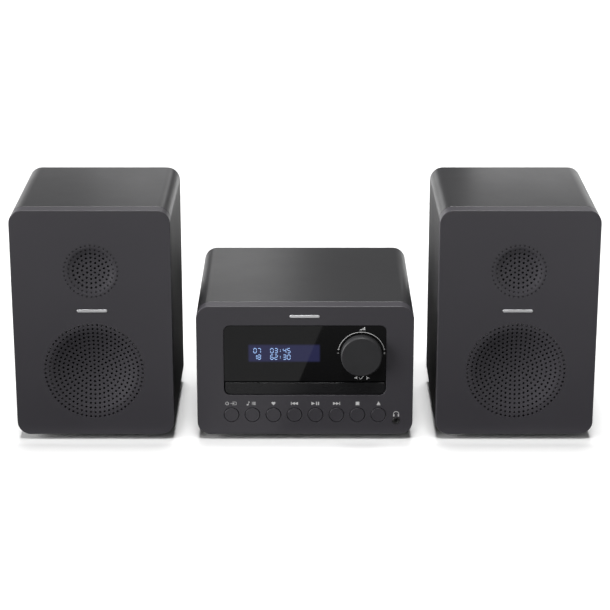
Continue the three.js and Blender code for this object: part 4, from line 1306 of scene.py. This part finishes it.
def turntableRing():
    form = Form(mainUnit.origin, "down")
    middle = mainUnit.middle("disc_turntable")[2]
    face = -mainUnit.span("disc_turntable")[1][1] + platter["below"]
    front, back, near, far = face - 0.35, face + 0.3, platter["ringInside"], platter["ringOutside"]
    form.turn(0, middle, [(near, front, 0.2), (far, front, 0.2), (far, back), (near, back)], 72, True)
    return form


placed("turntable_platter", turntableBody(), "white_plastic", ["disc_turntable"], "turntable")
placed("turntable_ring", turntableRing(), "rubber", (), "turntable")
say("tray is in")


# What is left of the CAD nodes keeps its shape and gets its finish.
kept = {
    "display_module": "inner_plastic", "encoder_body": "steel", "encoder_plunger": "white_plastic",
    "control_board": "circuit_board", "loader_frame": "inner_plastic", "main_board": "circuit_board",
    "tray_gear": "white_plastic", "laser_sled": "inner_plastic",
}
for side in speakers:
    kept |= {
        f"{side}_woofer_frame": "steel", f"{side}_woofer_magnet": "magnet",
        f"{side}_tweeter": "inner_plastic", f"{side}_woofer_cone": "cone_paper",
    }
for node, slot in kept.items():
    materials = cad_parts[node].data.materials
    materials.clear()
    materials.append(finishes[slot])


# Studio: a pale floor, a low soft key from the left with a fill and an overhead light, strips of light behind
# the units, and cards in front of and beside them that the camera doesn't see.
studio = {"floor": 0.5, "world": 0.22, "reach": 14}
suns = {  # direction it comes from, strength and spread in degrees
    "key": ((-0.95, -0.26, 0.22), 8.0, 45),
    "fill": ((0.0, -0.35, 1.0), 3.2, 16),
    "overhead": ((0.0, 0.14, 1.0), 3.1, 12),
}
strips = {  # middle, width and height in millimetres from the main unit's front, and radiance
    "main": ((-130, 790, 300), 230, 160, 1.35),
    "left": ((-330, 400, 222), 260, 50, 1.15),
    "right": ((305, 400, 240), 270, 80, 1.4),
    "corner": ((-62, 400, 300), 14, 60, 2.2),
}
# Corners in millimetres across and back from the main unit's front, height, and greys from near to far.
cards = {
    "frontCard": {
        "corners": [(-420, -10), (420, -10), (420, -700), (-420, -700)], "height": 2,
        "levels": [(0, 0.01), (1, 0.3)], "stopsBounce": True,  # keeps the floor's light off the fronts
    },
    "windowCard": {
        "corners": [(-90, -10), (-23.8, -10), (40, -450), (-130, -450)], "height": 3,
        "levels": [(0, 0.4), (1, 0.4)], "stopsBounce": False,
    },
    "sideCard": {
        "corners": [(-112, 20), (112, 20), (230, 900), (-230, 900)], "height": 3,
        "levels": [(0, 0.022), (0.5, 0.025), (0.85, 0.11), (1, 0.13)], "stopsBounce": False,
    },
}


def flatSheet(name, corners, finish):
    mesh = bpy.data.meshes.new(name)
    mesh.from_pydata(corners, [], [tuple(range(len(corners)))])
    mesh.materials.append(finish)
    sheet = bpy.data.objects.new(name, mesh)
    bpy.context.scene.collection.objects.link(sheet)
    return sheet


def paper(name, level, uneven=0.01):
    shader = Shader(name)
    tone = shader.noise(3, 3)
    base = shader.mixed(tone, (level,) * 3, (level + uneven,) * 3)
    return shader.done(Base_Color=base, Roughness=0.9, Specular_IOR_Level=0.0)


def makeFloor():
    reach = studio["reach"]
    corners = [(-reach, -reach, 0), (reach, -reach, 0), (reach, reach, 0), (-reach, reach, 0)]
    flatSheet("floor", corners, paper("floorPaper", studio["floor"]))


# A card for reflections, in a grey that changes from its near end to its far one.
def makeCard(name, corners, height, levels, stopsBounce):
    points = [mainUnit.origin + Vector((u, d, 0)) * mm for u, d in corners]
    for point in points:
        point.z = height * mm
    start, end = points[0].y, points[2].y
    shader = Shader(name)
    share = (shader.along(1) - start) * (1 / (end - start))
    base = shader.steps(share, levels)
    card = flatSheet(name, points, shader.done(Base_Color=base, Roughness=0.9, Specular_IOR_Level=0.0))
    card.visible_camera = card.visible_shadow = card.visible_transmission = False
    card.visible_diffuse = stopsBounce


def aim(lamp, spot, target):
    lamp.location = spot
    lamp.rotation_euler = (target - spot).to_track_quat("-Z", "Y").to_euler()
    bpy.context.scene.collection.objects.link(lamp)


def makeLights():
    for name, (direction, energy, spread) in suns.items():
        data = bpy.data.lights.new(name, "SUN")
        data.energy, data.angle = energy, math.radians(spread)
        aim(bpy.data.objects.new(name, data), Vector(direction) * 2, Vector())
    for name, (middle, width, height, radiance) in strips.items():
        data = bpy.data.lights.new(f"{name}Strip", "AREA")
        data.shape, data.size, data.size_y = "RECTANGLE", width * mm, height * mm
        data.energy = radiance * math.pi * data.size * data.size_y
        spot = mainUnit.origin + Vector(middle) * mm
        aim(bpy.data.objects.new(f"{name}Strip", data), spot, spot + Vector((0, -1, -0.15)))


def makeWorld():
    world = bpy.data.worlds.new("studio")
    bpy.context.scene.world = world
    shader = Shader("studio", world)
    light = shader.node("ShaderNodeBackground", None, {"Color": (1, 1, 1), "Strength": studio["world"]})
    shader.node("ShaderNodeOutputWorld", None, {"Surface": light})


makeFloor()
for name, card in cards.items():
    makeCard(name, **card)
makeLights()
makeWorld()
bpy.context.scene.view_settings.view_transform = "Standard"
say("light is set")
